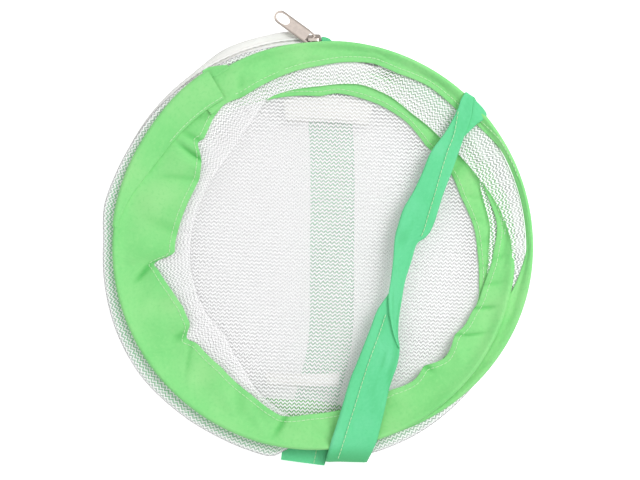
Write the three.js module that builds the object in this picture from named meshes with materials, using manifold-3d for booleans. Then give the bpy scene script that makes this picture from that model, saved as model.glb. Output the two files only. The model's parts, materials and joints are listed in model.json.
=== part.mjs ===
import * as THREE from 'three';
import { mergeGeometries, mergeVertices } from 'three/addons/utils/BufferGeometryUtils.js';
import Module from 'manifold-3d';

// A pop-up insect cage, pushed flat and lying on its back end.
// Millimetres and degrees. X is to the right, Y away from the user, Z up. Z = 0 is the table.
// Angles are measured counter-clockwise from +X. The coil runs clockwise, so its angles fall.

// Cloth, wire and clearances
const CASING_CLOTH = 0.6;
const MESH_CLOTH = 0.5;
const STRAP_CLOTH = 0.8;
const WIRE_RADIUS = 0.75;
const FERRULE_WALL = 0.3;
const FERRULE_PLAY = 0.15;
const FERRULE_LENGTH = 22;
const FERRULE_STEPS = 4;
const WIRE_END_GAP = 0.7;
const SEWN_GAP = 0.3;
const STACK_GAP = 0.4;
const ROW_SEAT = 0.1;

// Back hoop, on the table
const BACK_CENTRE = new THREE.Vector2(-5.5, 7.5);
const BACK_HOOP_RADIUS = 130.6;
const BACK_CASING_WIDTH = 18.5;
const BACK_JOINT_ANGLE = 250;

// Front hoop, stacked on the back hoop
const FRONT_CENTRE = new THREE.Vector2(-4, 2);
const FRONT_HOOP_RADIUS = 125.6;
const FRONT_CASING_WIDTH = 18.5;
const FRONT_JOINT_ANGLE = 205;
const HOOP_NEST_CLEARANCE = 1.4;

// Mesh end panels
const PANEL_CATCH = 7;
const NET_PITCH = 17;
const NET_HOLE = 9;
const NET_RIM = 4;

// Coil spring of the wall: angle, centre and how far it stands outside the hoops along its run
const COIL_START = 12;
const COIL_END = -450;
const COIL_JOINT = -213;
const COIL_CAP_LENGTH = 12;
const COIL_CAP_FLOOR = 2.4;
const COIL_WIRE_SETBACK = 4;
const COIL_RUN = [
  { angle: 12, x: -2.4, y: 1.7, outside: 5.7 },
  { angle: -180, x: -2.4, y: 1.7, outside: 5.7 },
  { angle: -270, x: 6.2, y: 2.1, outside: 8.8 },
  { angle: -360, x: 6.2, y: 2.1, outside: 8.8 },
  { angle: -450, x: 6.2, y: 2.1, outside: 2.9 },
];

// Width of the gathered coil casing, from the wire inwards
const COIL_CASING_WIDTH = [
  { angle: 12, width: 16 },
  { angle: -90, width: 22 },
  { angle: -180, width: 40 },
  { angle: -235, width: 24 },
  { angle: -270, width: 16 },
  { angle: -330, width: 12 },
  { angle: -450, width: 10 },
];

// Sag of the gathered casing: share of its wire's height above the front wall's lower run
const COIL_CASING_SAG = [
  { angle: 12, share: 0.5 },
  { angle: -90, share: 0.5 },
  { angle: -125, share: 0.95 },
  { angle: -235, share: 0.95 },
  { angle: -270, share: 0.6 },
  { angle: -450, share: 0.6 },
];

// Sleeve over the joint of the coil casing
const SLEEVE_START = -206;
const SLEEVE_END = -239;
const SLEEVE_TUCK = 5;

// Wall mesh: how far the front half shows inside its casing, and where the rear half folds
const WALL_CATCH = 5;
const FRONT_WALL_BEND = 2;
const REAR_WALL_BEND = 1.5;
const FRONT_WALL_START = -48;
const FRONT_WALL_END = -402;
const FRONT_WALL_SHOWING = [
  { angle: -48, width: 3 },
  { angle: -200, width: 3 },
  { angle: -270, width: 14 },
  { angle: -360, width: 17 },
  { angle: -402, width: 12 },
];
const REAR_WALL_START = -92;
const REAR_WALL_END = -448;
const REAR_FOLD_CENTRE = new THREE.Vector2(-7, -2.4);
const REAR_FOLD_OUTSIDE = 11.2;
const REAR_FOLD_DEPTH = 0.9;
const REAR_HEM_CENTRE = new THREE.Vector2(-4.5, 2.5);
const REAR_HEM_OUTSIDE = 0.9;

// Zip along the rim of the back end
const ZIP_START = 84;
const ZIP_END = 183;
const ZIP_TAPE = 0.6;
const ZIP_ROW_GAP = 1.2;
const ZIP_ROW_WIDTH = 1.4;
const ZIP_ROW_HEIGHT = 1.3;
const ZIP_TOOTH_DEPTH = 0.4;
const ZIP_TOOTH_STEPS = 96;
const ZIP_STOP_LENGTH = 2.4;
const ZIP_OUTER_TAPE_WIDTH = 6.3;
const ZIP_INNER_TAPE_WIDTH = 8.2;
const SLIDER_ANGLE = 89;
const SLIDER_LENGTH = 10;
const SLIDER_PLATE = 0.9;
const SLIDER_FLANGE = 1.2;
const SLIDER_SHOULDER = 0.6;
const SLIDER_HOOP_CLEARANCE = 0.8;
const BRIDGE_OPENING_LENGTH = 6.2;
const BRIDGE_OPENING_HEIGHT = 1.7;
const BRIDGE_BAR = 1.1;
const BRIDGE_WIDTH = 1.8;
const PULL_HEADING = 144;
const PULL_LENGTH = 31.8;
const PULL_WIDTH = 9.2;
const PULL_ROOT_WIDTH = 8.2;
const PULL_THICKNESS = 1;
const PULL_BAR = 1;
const PULL_EYE_LENGTH = 3.4;
const PULL_EYE_WIDTH = 5.8;
const PULL_SIDE_SHIFT = 1.6;
const PULL_LOOP_LENGTH = 10.5;
const PULL_LOOP_WIDTH = 6.4;
const PULL_LOOP_RIM = 1.3;

// Straps: middle line, width and drop over the rims
const BACK_STRAP_WIDTH = 30;
const BACK_STRAP_LINE = [
  [4, 148],
  [8, 70],
  [9.6, 0],
  [4, -80],
  [-8, -149],
];
const FRONT_STRAP_LINE = [
  { x: 106, y: 101, width: 17 },
  { x: 93, y: 74, width: 18 },
  { x: 75, y: 28, width: 17 },
  { x: 61, y: -6, width: 16 },
  { x: 52, y: -40, width: 16 },
  { x: 43, y: -62, width: 21 },
  { x: 33, y: -100, width: 25 },
  { x: 22, y: -136, width: 28 },
];
const FRONT_STRAP_RIM_CLEARANCE = 1.6;
const FRONT_STRAP_LIP = 8;

// Facets
const RING_STEPS = 52;
const COIL_STEP = 7;
const WIRE_SIDES = 6;
const ZIP_TAPE_STEPS = 17;
const STRAP_STEPS = 11;
const PULL_LOOP_SIDES = 20;

// Finishes
const CASING_GREEN = { color: 0x7fe87f, roughness: 0.85, metalness: 0 };
const STRAP_GREEN = { color: 0x62e6a0, roughness: 0.8, metalness: 0 };
const MESH_WHITE = { color: 0xf4f6f6, roughness: 0.9, metalness: 0 };
const TAPE_WHITE = { color: 0xf2f2ee, roughness: 0.8, metalness: 0 };
const NYLON_WHITE = { color: 0xf2f2ee, roughness: 0.45, metalness: 0 };
const STEEL_GREY = { color: 0xb8bcc0, roughness: 0.35, metalness: 1 };
const NICKEL = { color: 0xd9cfc9, roughness: 0.3, metalness: 1 };

// Derived sizes
const TUNNEL_SIDES = 6;
const ferruleBore = WIRE_RADIUS + FERRULE_PLAY;
const ferruleRadius = ferruleBore + FERRULE_WALL;
const tunnelInner = (ferruleRadius + SEWN_GAP) / Math.cos(Math.PI / TUNNEL_SIDES);
const tunnelOuter = tunnelInner + CASING_CLOTH;
const casingShoulder = 2 * tunnelOuter;
const layerInner = MESH_CLOTH / 2 + SEWN_GAP;
const layerOuter = layerInner + CASING_CLOTH;
const backAxisZ = STRAP_CLOTH + SEWN_GAP + tunnelOuter;
const frontAxisZ = backAxisZ + 2 * tunnelOuter + STACK_GAP;
const coilPitch = 2 * tunnelOuter + STACK_GAP;
const coilEndZ = frontAxisZ + 2 * tunnelOuter + STACK_GAP;
const tapeZ = backAxisZ + tunnelOuter + SEWN_GAP;
const rowZ = tapeZ + ZIP_TAPE + ROW_SEAT;
const rowTopZ = rowZ + ZIP_ROW_HEIGHT;
const sliderHalfWidth = ZIP_ROW_GAP / 2 + ZIP_ROW_WIDTH + SEWN_GAP + SLIDER_FLANGE;
const outerHoop = Math.max(BACK_HOOP_RADIUS, FRONT_HOOP_RADIUS + tunnelOuter + HOOP_NEST_CLEARANCE);
const frontWallLow = frontAxisZ + tunnelOuter + SEWN_GAP + MESH_CLOTH / 2;
const sagFloor = frontWallLow + MESH_CLOTH / 2 + SEWN_GAP + layerOuter;
const rearFoldRadius = outerHoop + REAR_FOLD_OUTSIDE;
const rearHemRadius = outerHoop + REAR_HEM_OUTSIDE;
const zipRadius = outerHoop + tunnelOuter + SLIDER_HOOP_CLEARANCE + sliderHalfWidth;

const group = new THREE.Group();
const wasm = await Module();
wasm.setup();

function radians(angle) {
  return THREE.MathUtils.degToRad(angle);
}

// Smooth value of one key between the listed angles of a run
function along(run, key, angle) {
  const falling = run[0].angle > run[run.length - 1].angle;
  const sorted = falling ? [...run].reverse() : run;
  if (angle <= sorted[0].angle) {
    return sorted[0][key];
  }
  for (let i = 1; i < sorted.length; i += 1) {
    if (angle <= sorted[i].angle) {
      const share = THREE.MathUtils.smoothstep(angle, sorted[i - 1].angle, sorted[i].angle);
      return THREE.MathUtils.lerp(sorted[i - 1][key], sorted[i][key], share);
    }
  }
  return sorted[sorted.length - 1][key];
}

function angleSteps(start, end, steps) {
  return Array.from({ length: steps + 1 }, (_, i) => start + ((end - start) * i) / steps);
}

function addMesh(name, geometry, finish, parent = group) {
  const mesh = new THREE.Mesh(geometry, new THREE.MeshStandardMaterial(finish));
  mesh.name = name;
  parent.add(mesh);
  return mesh;
}

// Turns a closed shell right side out by the sign of its volume
function facingOut(geometry) {
  const points = geometry.getAttribute('position');
  const index = geometry.getIndex().array;
  const a = new THREE.Vector3();
  const b = new THREE.Vector3();
  const c = new THREE.Vector3();
  let volume = 0;
  for (let i = 0; i < index.length; i += 3) {
    a.fromBufferAttribute(points, index[i]);
    b.fromBufferAttribute(points, index[i + 1]);
    c.fromBufferAttribute(points, index[i + 2]);
    volume += a.dot(b.cross(c));
  }
  if (volume < 0) {
    for (let i = 0; i < index.length; i += 3) {
      [index[i + 1], index[i + 2]] = [index[i + 2], index[i + 1]];
    }
  }
  return geometry;
}

// Joins a row of like closed sections into one body, as a ring or with an end cap each way
function loft(sections, flatSection, isRing) {
  const count = flatSection.length;
  const last = sections.length;
  const position = sections.flat().flatMap((p) => [p.x, p.y, p.z]);
  const index = [];
  for (let s = 0; s < (isRing ? last : last - 1); s += 1) {
    const here = s * count;
    const next = ((s + 1) % last) * count;
    for (let i = 0; i < count; i += 1) {
      const j = (i + 1) % count;
      index.push(here + i, here + j, next + j, here + i, next + j, next + i);
    }
  }
  if (!isRing) {
    const isClockwise = THREE.ShapeUtils.isClockWise(flatSection);
    const end = (last - 1) * count;
    for (const [a, b, c] of THREE.ShapeUtils.triangulateShape(flatSection, [])) {
      const [p, q] = isClockwise ? [b, c] : [c, b];
      index.push(a, p, q, end + a, end + q, end + p);
    }
  }
  const geometry = new THREE.BufferGeometry();
  geometry.setAttribute('position', new THREE.Float32BufferAttribute(position, 3));
  geometry.setIndex(index);
  return facingOut(geometry);
}

// Point at a distance from a centre, in the direction of an angle
function polar(centre, radius, angle, z) {
  const turn = radians(angle);
  return new THREE.Vector3(centre.x + radius * Math.cos(turn), centre.y + radius * Math.sin(turn), z);
}

// Section (radial, vertical) swept around a centre; the centre and section may change with the angle
function sweep(angles, placeAt, sectionAt, isRing) {
  const stations = isRing ? angles.slice(0, -1) : angles;
  const sections = stations.map((angle) => {
    const { centre, radius, z } = placeAt(angle);
    return sectionAt(angle).map((p) => polar(centre, radius + p.x, angle, z + p.y));
  });
  return loft(sections, sectionAt(stations[0]), isRing);
}

function circleSection(radius, sides) {
  return Array.from({ length: sides }, (_, i) => {
    const turn = (2 * Math.PI * i) / sides;
    return new THREE.Vector2(radius * Math.cos(turn), radius * Math.sin(turn));
  });
}

function boxSection(left, right, bottom, top) {
  return [
    new THREE.Vector2(left, bottom),
    new THREE.Vector2(right, bottom),
    new THREE.Vector2(right, top),
    new THREE.Vector2(left, top),
  ];
}

// Arc points from one angle to another on the tunnel around the wire
function tunnelArc(radius, from, to) {
  const stops = TUNNEL_SIDES - 2;
  return angleSteps(from, to, stops).map(
    (angle) => new THREE.Vector2(radius * Math.cos(radians(angle)), radius * Math.sin(radians(angle))),
  );
}

// Folded casing: the cloth goes round the wire and both layers run inwards and down, open at the inner edge
function casingSection(width, sag = 0) {
  return [
    new THREE.Vector2(-width, -layerOuter - sag),
    new THREE.Vector2(-casingShoulder, -layerOuter),
    ...tunnelArc(tunnelOuter, -120, 120),
    new THREE.Vector2(-casingShoulder, layerOuter),
    new THREE.Vector2(-width, layerOuter - sag),
    new THREE.Vector2(-width, layerInner - sag),
    new THREE.Vector2(-casingShoulder, layerInner),
    ...tunnelArc(tunnelInner, 120, -120),
    new THREE.Vector2(-casingShoulder, -layerInner),
    new THREE.Vector2(-width, -layerInner - sag),
  ];
}

// Closed outline of a sheet of cloth that follows a line of (radial, vertical) points
function sheetSection(line, thickness) {
  const normals = line.slice(1).map((p, i) => {
    const run = p.clone().sub(line[i]).normalize();
    return new THREE.Vector2(-run.y, run.x);
  });
  const offset = line.map((p, i) => {
    const before = normals[Math.max(i - 1, 0)];
    const after = normals[Math.min(i, normals.length - 1)];
    const middle = before.clone().add(after).normalize();
    return middle.multiplyScalar(thickness / 2 / Math.max(middle.dot(after), 0.5));
  });
  const upper = line.map((p, i) => p.clone().add(offset[i]));
  const lower = line.map((p, i) => p.clone().sub(offset[i]));
  return [...upper, ...lower.reverse()];
}

// Sheet around the cage; each point of its line has its own centre, distance and height
function wrappedSheet(angles, lineAt, thickness) {
  const flatLine = (angle) => {
    const heading = new THREE.Vector2(Math.cos(radians(angle)), Math.sin(radians(angle)));
    return lineAt(angle).map((p) => new THREE.Vector2(p.radius + p.centre.dot(heading), p.z));
  };
  const sections = angles.map((angle) => {
    const heading = new THREE.Vector2(Math.cos(radians(angle)), Math.sin(radians(angle)));
    const line = lineAt(angle);
    const outline = sheetSection(flatLine(angle), thickness);
    const owners = [...line, ...[...line].reverse()];
    return outline.map((p, i) => {
      const aside = owners[i].centre.clone().addScaledVector(heading, -owners[i].centre.dot(heading));
      return new THREE.Vector3(aside.x + heading.x * p.x, aside.y + heading.y * p.x, p.y);
    });
  });
  return loft(sections, sheetSection(flatLine(angles[0]), thickness), false);
}

// Solid for joining and cutting
function solidOf(geometry) {
  const bare = geometry.clone();
  bare.deleteAttribute('normal');
  bare.deleteAttribute('uv');
  const merged = mergeVertices(bare, 1e-4);
  const mesh = new wasm.Mesh({
    numProp: 3,
    vertProperties: new Float32Array(merged.getAttribute('position').array),
    triVerts: new Uint32Array(merged.getIndex().array),
  });
  return new wasm.Manifold(mesh);
}

function geometryOf(solid) {
  const mesh = solid.getMesh();
  const geometry = new THREE.BufferGeometry();
  geometry.setAttribute('position', new THREE.Float32BufferAttribute(mesh.vertProperties, 3));
  geometry.setIndex(new THREE.BufferAttribute(mesh.triVerts, 1));
  return geometry;
}

// Flat rectangle with round corners, raised to a thickness
function roundedPlate(length, width, corner, thickness, holes = []) {
  const shape = new THREE.Shape();
  const x = length / 2 - corner;
  const y = width / 2 - corner;
  shape.absarc(x, y, corner, 0, Math.PI / 2);
  shape.absarc(-x, y, corner, Math.PI / 2, Math.PI);
  shape.absarc(-x, -y, corner, Math.PI, 1.5 * Math.PI);
  shape.absarc(x, -y, corner, 1.5 * Math.PI, 2 * Math.PI);
  shape.closePath();
  shape.holes.push(...holes);
  return new THREE.ExtrudeGeometry(shape, { depth: thickness, bevelEnabled: false, curveSegments: 4 });
}

// Round wire hoop, bent into a ring whose ends meet inside a ferrule
function addHoop(prefix, centre, radius, z, jointAngle) {
  const place = () => ({ centre, radius, z });
  const halfGap = THREE.MathUtils.radToDeg(WIRE_END_GAP / 2 / radius);
  const halfFerrule = THREE.MathUtils.radToDeg(FERRULE_LENGTH / 2 / radius);
  const wireAngles = angleSteps(jointAngle + halfGap, jointAngle + 360 - halfGap, RING_STEPS);
  const wire = sweep(wireAngles, place, () => circleSection(WIRE_RADIUS, WIRE_SIDES), false);
  addMesh(`${prefix}_hoop_wire`, wire, STEEL_GREY);

  const bore = circleSection(ferruleBore / Math.cos(Math.PI / WIRE_SIDES), WIRE_SIDES);
  const skin = circleSection(ferruleRadius, WIRE_SIDES);
  const ferruleAngles = angleSteps(jointAngle - halfFerrule, jointAngle + halfFerrule, FERRULE_STEPS);
  addMesh(`${prefix}_hoop_ferrule`, openTube(ferruleAngles, place, skin, bore), STEEL_GREY);
}

// Tube with a bore from end to end
function openTube(angles, placeAt, skin, bore) {
  const out = angles.map((angle) => ({ angle, section: skin }));
  const back = [...angles].reverse().map((angle) => ({ angle, section: bore }));
  return closedBand([...out, ...back], placeAt);
}

// Band of sections that closes on itself, from the outside of a tube back along its bore
function closedBand(stations, placeAt) {
  const sections = stations.map(({ angle, section }) => {
    const { centre, radius, z } = placeAt(angle);
    return section.map((p) => polar(centre, radius + p.x, angle, z + p.y));
  });
  return loft(sections, stations[0].section, true);
}

function addRingCasing(name, centre, radius, z, width) {
  const place = () => ({ centre, radius, z });
  const angles = angleSteps(0, 360, RING_STEPS);
  addMesh(name, sweep(angles, place, () => casingSection(width), true), CASING_GREEN);
}

// Round mesh panel with its rim between the casing's layers, knotted on a square grid
function addPanel(name, centre, hoopRadius, casingWidth, z) {
  const edge = hoopRadius - casingWidth;
  const disc = new THREE.Shape(circleSection(edge + PANEL_CATCH, RING_STEPS));
  const sheet = new THREE.ExtrudeGeometry(disc, { depth: MESH_CLOTH, bevelEnabled: false });
  const reach = Math.floor(edge / NET_PITCH);
  const farCorner = (row, column) => NET_PITCH * Math.hypot(row, column) + NET_HOLE * Math.SQRT1_2;
  const gaps = [];
  for (let row = -reach; row <= reach; row += 1) {
    for (let column = -reach; column <= reach; column += 1) {
      if (farCorner(row, column) < edge - NET_RIM) {
        const gap = new THREE.BoxGeometry(NET_HOLE, NET_HOLE, 4 * MESH_CLOTH);
        gaps.push(gap.translate(column * NET_PITCH, row * NET_PITCH, 0));
      }
    }
  }
  const net = solidOf(sheet).subtract(solidOf(mergeGeometries(gaps)));
  const mesh = addMesh(name, geometryOf(net), MESH_WHITE);
  mesh.position.set(centre.x, centre.y, z - MESH_CLOTH / 2);
}

// Where the coil's wire is at an angle of its run
function coilPlace(angle) {
  const centre = new THREE.Vector2(along(COIL_RUN, 'x', angle), along(COIL_RUN, 'y', angle));
  const z = coilEndZ + (coilPitch * (angle - COIL_END)) / 360;
  return { centre, radius: outerHoop + along(COIL_RUN, 'outside', angle), z };
}

// How far the coil casing hangs below its wire, at a distance from the wire
function coilSag(angle, reach) {
  const width = along(COIL_CASING_WIDTH, 'width', angle);
  const share = Math.max(0, (reach - casingShoulder) / (width - casingShoulder));
  const drop = Math.max(0, coilPlace(angle).z - sagFloor);
  return share * drop * along(COIL_CASING_SAG, 'share', angle);
}

function coilAngles(start, end) {
  return angleSteps(start, end, Math.max(2, Math.round(Math.abs(end - start) / COIL_STEP)));
}

// Least distance between two turns of the spring, skin to skin
function leastTurnGap(angles) {
  const points = angles.map((angle) => {
    const { centre, radius, z } = coilPlace(angle);
    return polar(centre, radius, angle, z);
  });
  let least = Infinity;
  points.forEach((p, i) => {
    points.slice(i + 1).forEach((q, k) => {
      if (Math.abs(angles[i] - angles[i + 1 + k]) > 180) {
        least = Math.min(least, p.distanceTo(q));
      }
    });
  });
  return least - 2 * WIRE_RADIUS;
}

function addCoilSpring() {
  const turnOf = (length) => THREE.MathUtils.radToDeg(length / coilPlace(COIL_START).radius);
  const capAngle = turnOf(COIL_CAP_LENGTH);
  const setback = turnOf(COIL_WIRE_SETBACK);
  const wireAngles = coilAngles(COIL_START - setback, COIL_END + setback);
  const wire = sweep(wireAngles, coilPlace, () => circleSection(WIRE_RADIUS, WIRE_SIDES), false);
  addMesh('coil_spring', wire, STEEL_GREY);
  console.log(`least gap between turns of the coil spring: ${leastTurnGap(wireAngles).toFixed(2)} mm`);

  const bore = circleSection(ferruleBore / Math.cos(Math.PI / WIRE_SIDES), WIRE_SIDES);
  const skin = circleSection(ferruleRadius, WIRE_SIDES);
  const addCap = (name, tip, mouth) => {
    const floor = THREE.MathUtils.lerp(tip, mouth, COIL_CAP_FLOOR / COIL_CAP_LENGTH);
    const out = [tip, floor, mouth].map((angle) => ({ angle, section: skin }));
    const back = [mouth, floor].map((angle) => ({ angle, section: bore }));
    const sections = [...out, ...back].map(({ angle, section }) => {
      const { centre, radius, z } = coilPlace(angle);
      return section.map((p) => polar(centre, radius + p.x, angle, z + p.y));
    });
    addMesh(name, loft(sections, skin, false), NYLON_WHITE);
  };
  addCap('coil_spring_cap_front', COIL_START, COIL_START - capAngle);
  addCap('coil_spring_cap_rear', COIL_END, COIL_END + capAngle);
}

function addCoilCasing() {
  const section = (angle) => {
    const width = along(COIL_CASING_WIDTH, 'width', angle);
    return casingSection(width, coilSag(angle, width));
  };
  const seam = THREE.MathUtils.radToDeg(SEWN_GAP / coilPlace(COIL_JOINT).radius);
  const front = sweep(coilAngles(COIL_START, COIL_JOINT + seam), coilPlace, section, false);
  const rear = sweep(coilAngles(COIL_JOINT - seam, COIL_END), coilPlace, section, false);
  addMesh('coil_casing_front', front, CASING_GREEN);
  addMesh('coil_casing_rear', rear, CASING_GREEN);

  const sleeve = (angle) => {
    const inside = SEWN_GAP;
    const outside = SEWN_GAP + CASING_CLOTH;
    const reach = along(COIL_CASING_WIDTH, 'width', angle) - SLEEVE_TUCK;
    const sag = coilSag(angle, reach);
    return [
      ...tunnelArc(tunnelOuter + outside, 0, 120),
      new THREE.Vector2(-casingShoulder, layerOuter + outside),
      new THREE.Vector2(-reach, layerOuter + outside - sag),
      new THREE.Vector2(-reach, layerOuter + inside - sag),
      new THREE.Vector2(-casingShoulder, layerOuter + inside),
      ...tunnelArc(tunnelOuter + inside, 120, 0),
    ];
  };
  const stretch = sweep(coilAngles(SLEEVE_START, SLEEVE_END), coilPlace, sleeve, false);
  addMesh('casing_joint_sleeve', stretch, CASING_GREEN);
}

// Front half of the wall: from the coil casing inwards, round a fold, and back out over the front hoop
function frontWallLine(angle) {
  const { centre, radius, z } = coilPlace(angle);
  const width = along(COIL_CASING_WIDTH, 'width', angle);
  const inner = radius - width;
  const fold = inner - along(FRONT_WALL_SHOWING, 'width', angle);
  const edge = z - coilSag(angle, width);
  const bend = FRONT_WALL_BEND;
  return [
    { centre, radius: inner + WALL_CATCH, z: z - coilSag(angle, width - WALL_CATCH) },
    { centre, radius: inner, z: edge },
    { centre, radius: fold + bend, z: edge },
    { centre, radius: fold, z: (edge + frontWallLow) / 2 },
    { centre, radius: fold + bend, z: frontWallLow },
    { centre: FRONT_CENTRE, radius: FRONT_HOOP_RADIUS, z: frontWallLow },
  ];
}

// Rear half of the wall: from the zip up, out to its bulging fold, and in under the coil casing
function rearWallLine(angle) {
  const { centre, radius, z } = coilPlace(angle);
  const high = z - tunnelOuter - SEWN_GAP - MESH_CLOTH / 2;
  const low = high - REAR_FOLD_DEPTH;
  const bend = REAR_WALL_BEND;
  const hem = tapeZ + ZIP_TAPE + SEWN_GAP;
  const reach = casingShoulder + tunnelOuter;
  const sewn = z - layerOuter - SEWN_GAP - MESH_CLOTH / 2 - coilSag(angle, reach);
  return [
    { centre: REAR_HEM_CENTRE, radius: rearHemRadius, z: hem },
    { centre: REAR_HEM_CENTRE, radius: rearHemRadius, z: low - bend },
    { centre: REAR_HEM_CENTRE, radius: rearHemRadius + bend, z: low },
    { centre: REAR_FOLD_CENTRE, radius: rearFoldRadius - bend, z: low },
    { centre: REAR_FOLD_CENTRE, radius: rearFoldRadius, z: (low + high) / 2 },
    { centre: REAR_FOLD_CENTRE, radius: rearFoldRadius - bend, z: high },
    { centre, radius: radius - casingShoulder, z: high },
    { centre, radius: radius - reach, z: sewn },
  ];
}

function addWall() {
  const front = wrappedSheet(coilAngles(FRONT_WALL_START, FRONT_WALL_END), frontWallLine, MESH_CLOTH);
  const rear = wrappedSheet(coilAngles(REAR_WALL_START, REAR_WALL_END), rearWallLine, MESH_CLOTH);
  addMesh('front_wall_mesh', front, MESH_WHITE);
  addMesh('rear_wall_mesh', rear, MESH_WHITE);
}

// Zip: two tapes, two rows of teeth and an end stop each way, on one circle
function addZipChain() {
  const place = (z) => () => ({ centre: BACK_CENTRE, radius: zipRadius, z });
  const degrees = (length) => THREE.MathUtils.radToDeg(length / zipRadius);
  const tapeAngles = angleSteps(ZIP_START, ZIP_END, ZIP_TAPE_STEPS);
  const gap = ZIP_ROW_GAP / 2;
  const wallTape = boxSection(-gap - ZIP_INNER_TAPE_WIDTH, -gap, 0, ZIP_TAPE);
  addMesh('zip_tape_wall', sweep(tapeAngles, place(tapeZ), () => wallTape, false), TAPE_WHITE);

  const edge = gap + ZIP_OUTER_TAPE_WIDTH;
  const hem = BACK_HOOP_RADIUS + tunnelOuter + 2 * SEWN_GAP - zipRadius;
  const lidLine = [
    new THREE.Vector2(gap, ZIP_TAPE / 2),
    new THREE.Vector2(edge - ZIP_TAPE, ZIP_TAPE / 2),
    new THREE.Vector2(edge, (backAxisZ - tapeZ) / 2),
    new THREE.Vector2(edge - ZIP_TAPE, backAxisZ - tapeZ),
    new THREE.Vector2(hem, backAxisZ - tapeZ),
  ];
  const lidTape = sheetSection(lidLine, ZIP_TAPE);
  addMesh('zip_tape_lid', sweep(tapeAngles, place(tapeZ), () => lidTape, false), TAPE_WHITE);

  const stop = degrees(ZIP_STOP_LENGTH);
  const seat = degrees(SEWN_GAP);
  const rowAngles = angleSteps(ZIP_START + stop + 2 * seat, ZIP_END - stop - 2 * seat, ZIP_TOOTH_STEPS);
  const pitch = rowAngles[1] - rowAngles[0];
  const row = (side) => (angle) => {
    const isTooth = Math.round((angle - rowAngles[0]) / pitch) % 2 === 0;
    const near = gap + (isTooth ? 0 : ZIP_TOOTH_DEPTH);
    const far = gap + ZIP_ROW_WIDTH;
    return side > 0 ? boxSection(near, far, 0, ZIP_ROW_HEIGHT) : boxSection(-far, -near, 0, ZIP_ROW_HEIGHT);
  };
  addMesh('zip_teeth_lid', sweep(rowAngles, place(rowZ), row(1), false), NYLON_WHITE);
  addMesh('zip_teeth_wall', sweep(rowAngles, place(rowZ), row(-1), false), NYLON_WHITE);

  const reach = gap + ZIP_ROW_WIDTH;
  const clamp = () => boxSection(-reach, reach, 0, ZIP_ROW_HEIGHT);
  const closedEnd = [ZIP_START + seat, ZIP_START + seat + stop];
  const openEnd = [ZIP_END - seat - stop, ZIP_END - seat];
  addMesh('zip_closed_stop', sweep(closedEnd, place(rowZ), clamp, false), NICKEL);
  addMesh('zip_open_stop', sweep(openEnd, place(rowZ), clamp, false), NICKEL);
}

// Slider: two plates on a wedge, flanges down beside the teeth, and a bridge for the pull
function sliderGeometry() {
  const width = 2 * sliderHalfWidth;
  const lowTop = tapeZ - SEWN_GAP;
  const highBottom = rowTopZ + SEWN_GAP;
  const highTop = highBottom + SLIDER_PLATE;
  const corner = width / 5;
  const lift = (geometry, x, y, z) => solidOf(geometry.translate(x, y, z));

  const low = lift(roundedPlate(SLIDER_LENGTH, width, corner, SLIDER_PLATE), 0, 0, lowTop - SLIDER_PLATE);
  const high = lift(roundedPlate(SLIDER_LENGTH, width, corner, SLIDER_PLATE), 0, 0, highBottom);

  const wedgeWidth = ZIP_ROW_GAP - 2 * SEWN_GAP;
  const wedgeLength = SLIDER_LENGTH / 3;
  const wedgeHeight = highBottom - lowTop + SLIDER_PLATE;
  const wedge = lift(
    roundedPlate(wedgeLength, wedgeWidth, wedgeWidth / 2.5, wedgeHeight),
    wedgeLength,
    0,
    lowTop - SLIDER_PLATE / 2,
  );

  const flangeBottom = tapeZ + ZIP_TAPE + SEWN_GAP;
  const flangeLength = SLIDER_LENGTH - 2 * corner;
  const flangeHeight = highBottom + SLIDER_PLATE / 2 - flangeBottom;
  const flange = (side) => lift(
    new THREE.BoxGeometry(flangeLength, SLIDER_FLANGE, flangeHeight),
    0,
    side * (sliderHalfWidth - SLIDER_FLANGE / 2),
    flangeBottom + flangeHeight / 2,
  );

  const inner = BRIDGE_OPENING_LENGTH / 2;
  const outer = inner + BRIDGE_BAR;
  const opening = BRIDGE_OPENING_HEIGHT;
  const arch = new THREE.Shape();
  arch.moveTo(-outer, -SLIDER_PLATE / 2);
  arch.lineTo(-outer, opening - BRIDGE_BAR / 2);
  arch.quadraticCurveTo(-outer, opening + BRIDGE_BAR, -inner + BRIDGE_BAR, opening + BRIDGE_BAR);
  arch.lineTo(inner - BRIDGE_BAR, opening + BRIDGE_BAR);
  arch.quadraticCurveTo(outer, opening + BRIDGE_BAR, outer, opening - BRIDGE_BAR / 2);
  arch.lineTo(outer, -SLIDER_PLATE / 2);
  arch.lineTo(inner, -SLIDER_PLATE / 2);
  arch.lineTo(inner, opening);
  arch.lineTo(-inner, opening);
  arch.lineTo(-inner, -SLIDER_PLATE / 2);
  arch.closePath();
  const settings = { depth: BRIDGE_WIDTH, bevelEnabled: false, curveSegments: 4 };
  const upright = new THREE.ExtrudeGeometry(arch, settings).rotateX(Math.PI / 2);
  const bridge = lift(upright, 0, BRIDGE_WIDTH / 2, highTop);

  const shoulder = lift(
    roundedPlate(SLIDER_LENGTH / 2, width + 2 * SLIDER_SHOULDER, corner, SLIDER_PLATE),
    SLIDER_LENGTH / 4,
    0,
    highBottom,
  );
  return geometryOf(low.add(wedge).add(high).add(shoulder).add(flange(1)).add(flange(-1)).add(bridge));
}

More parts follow.
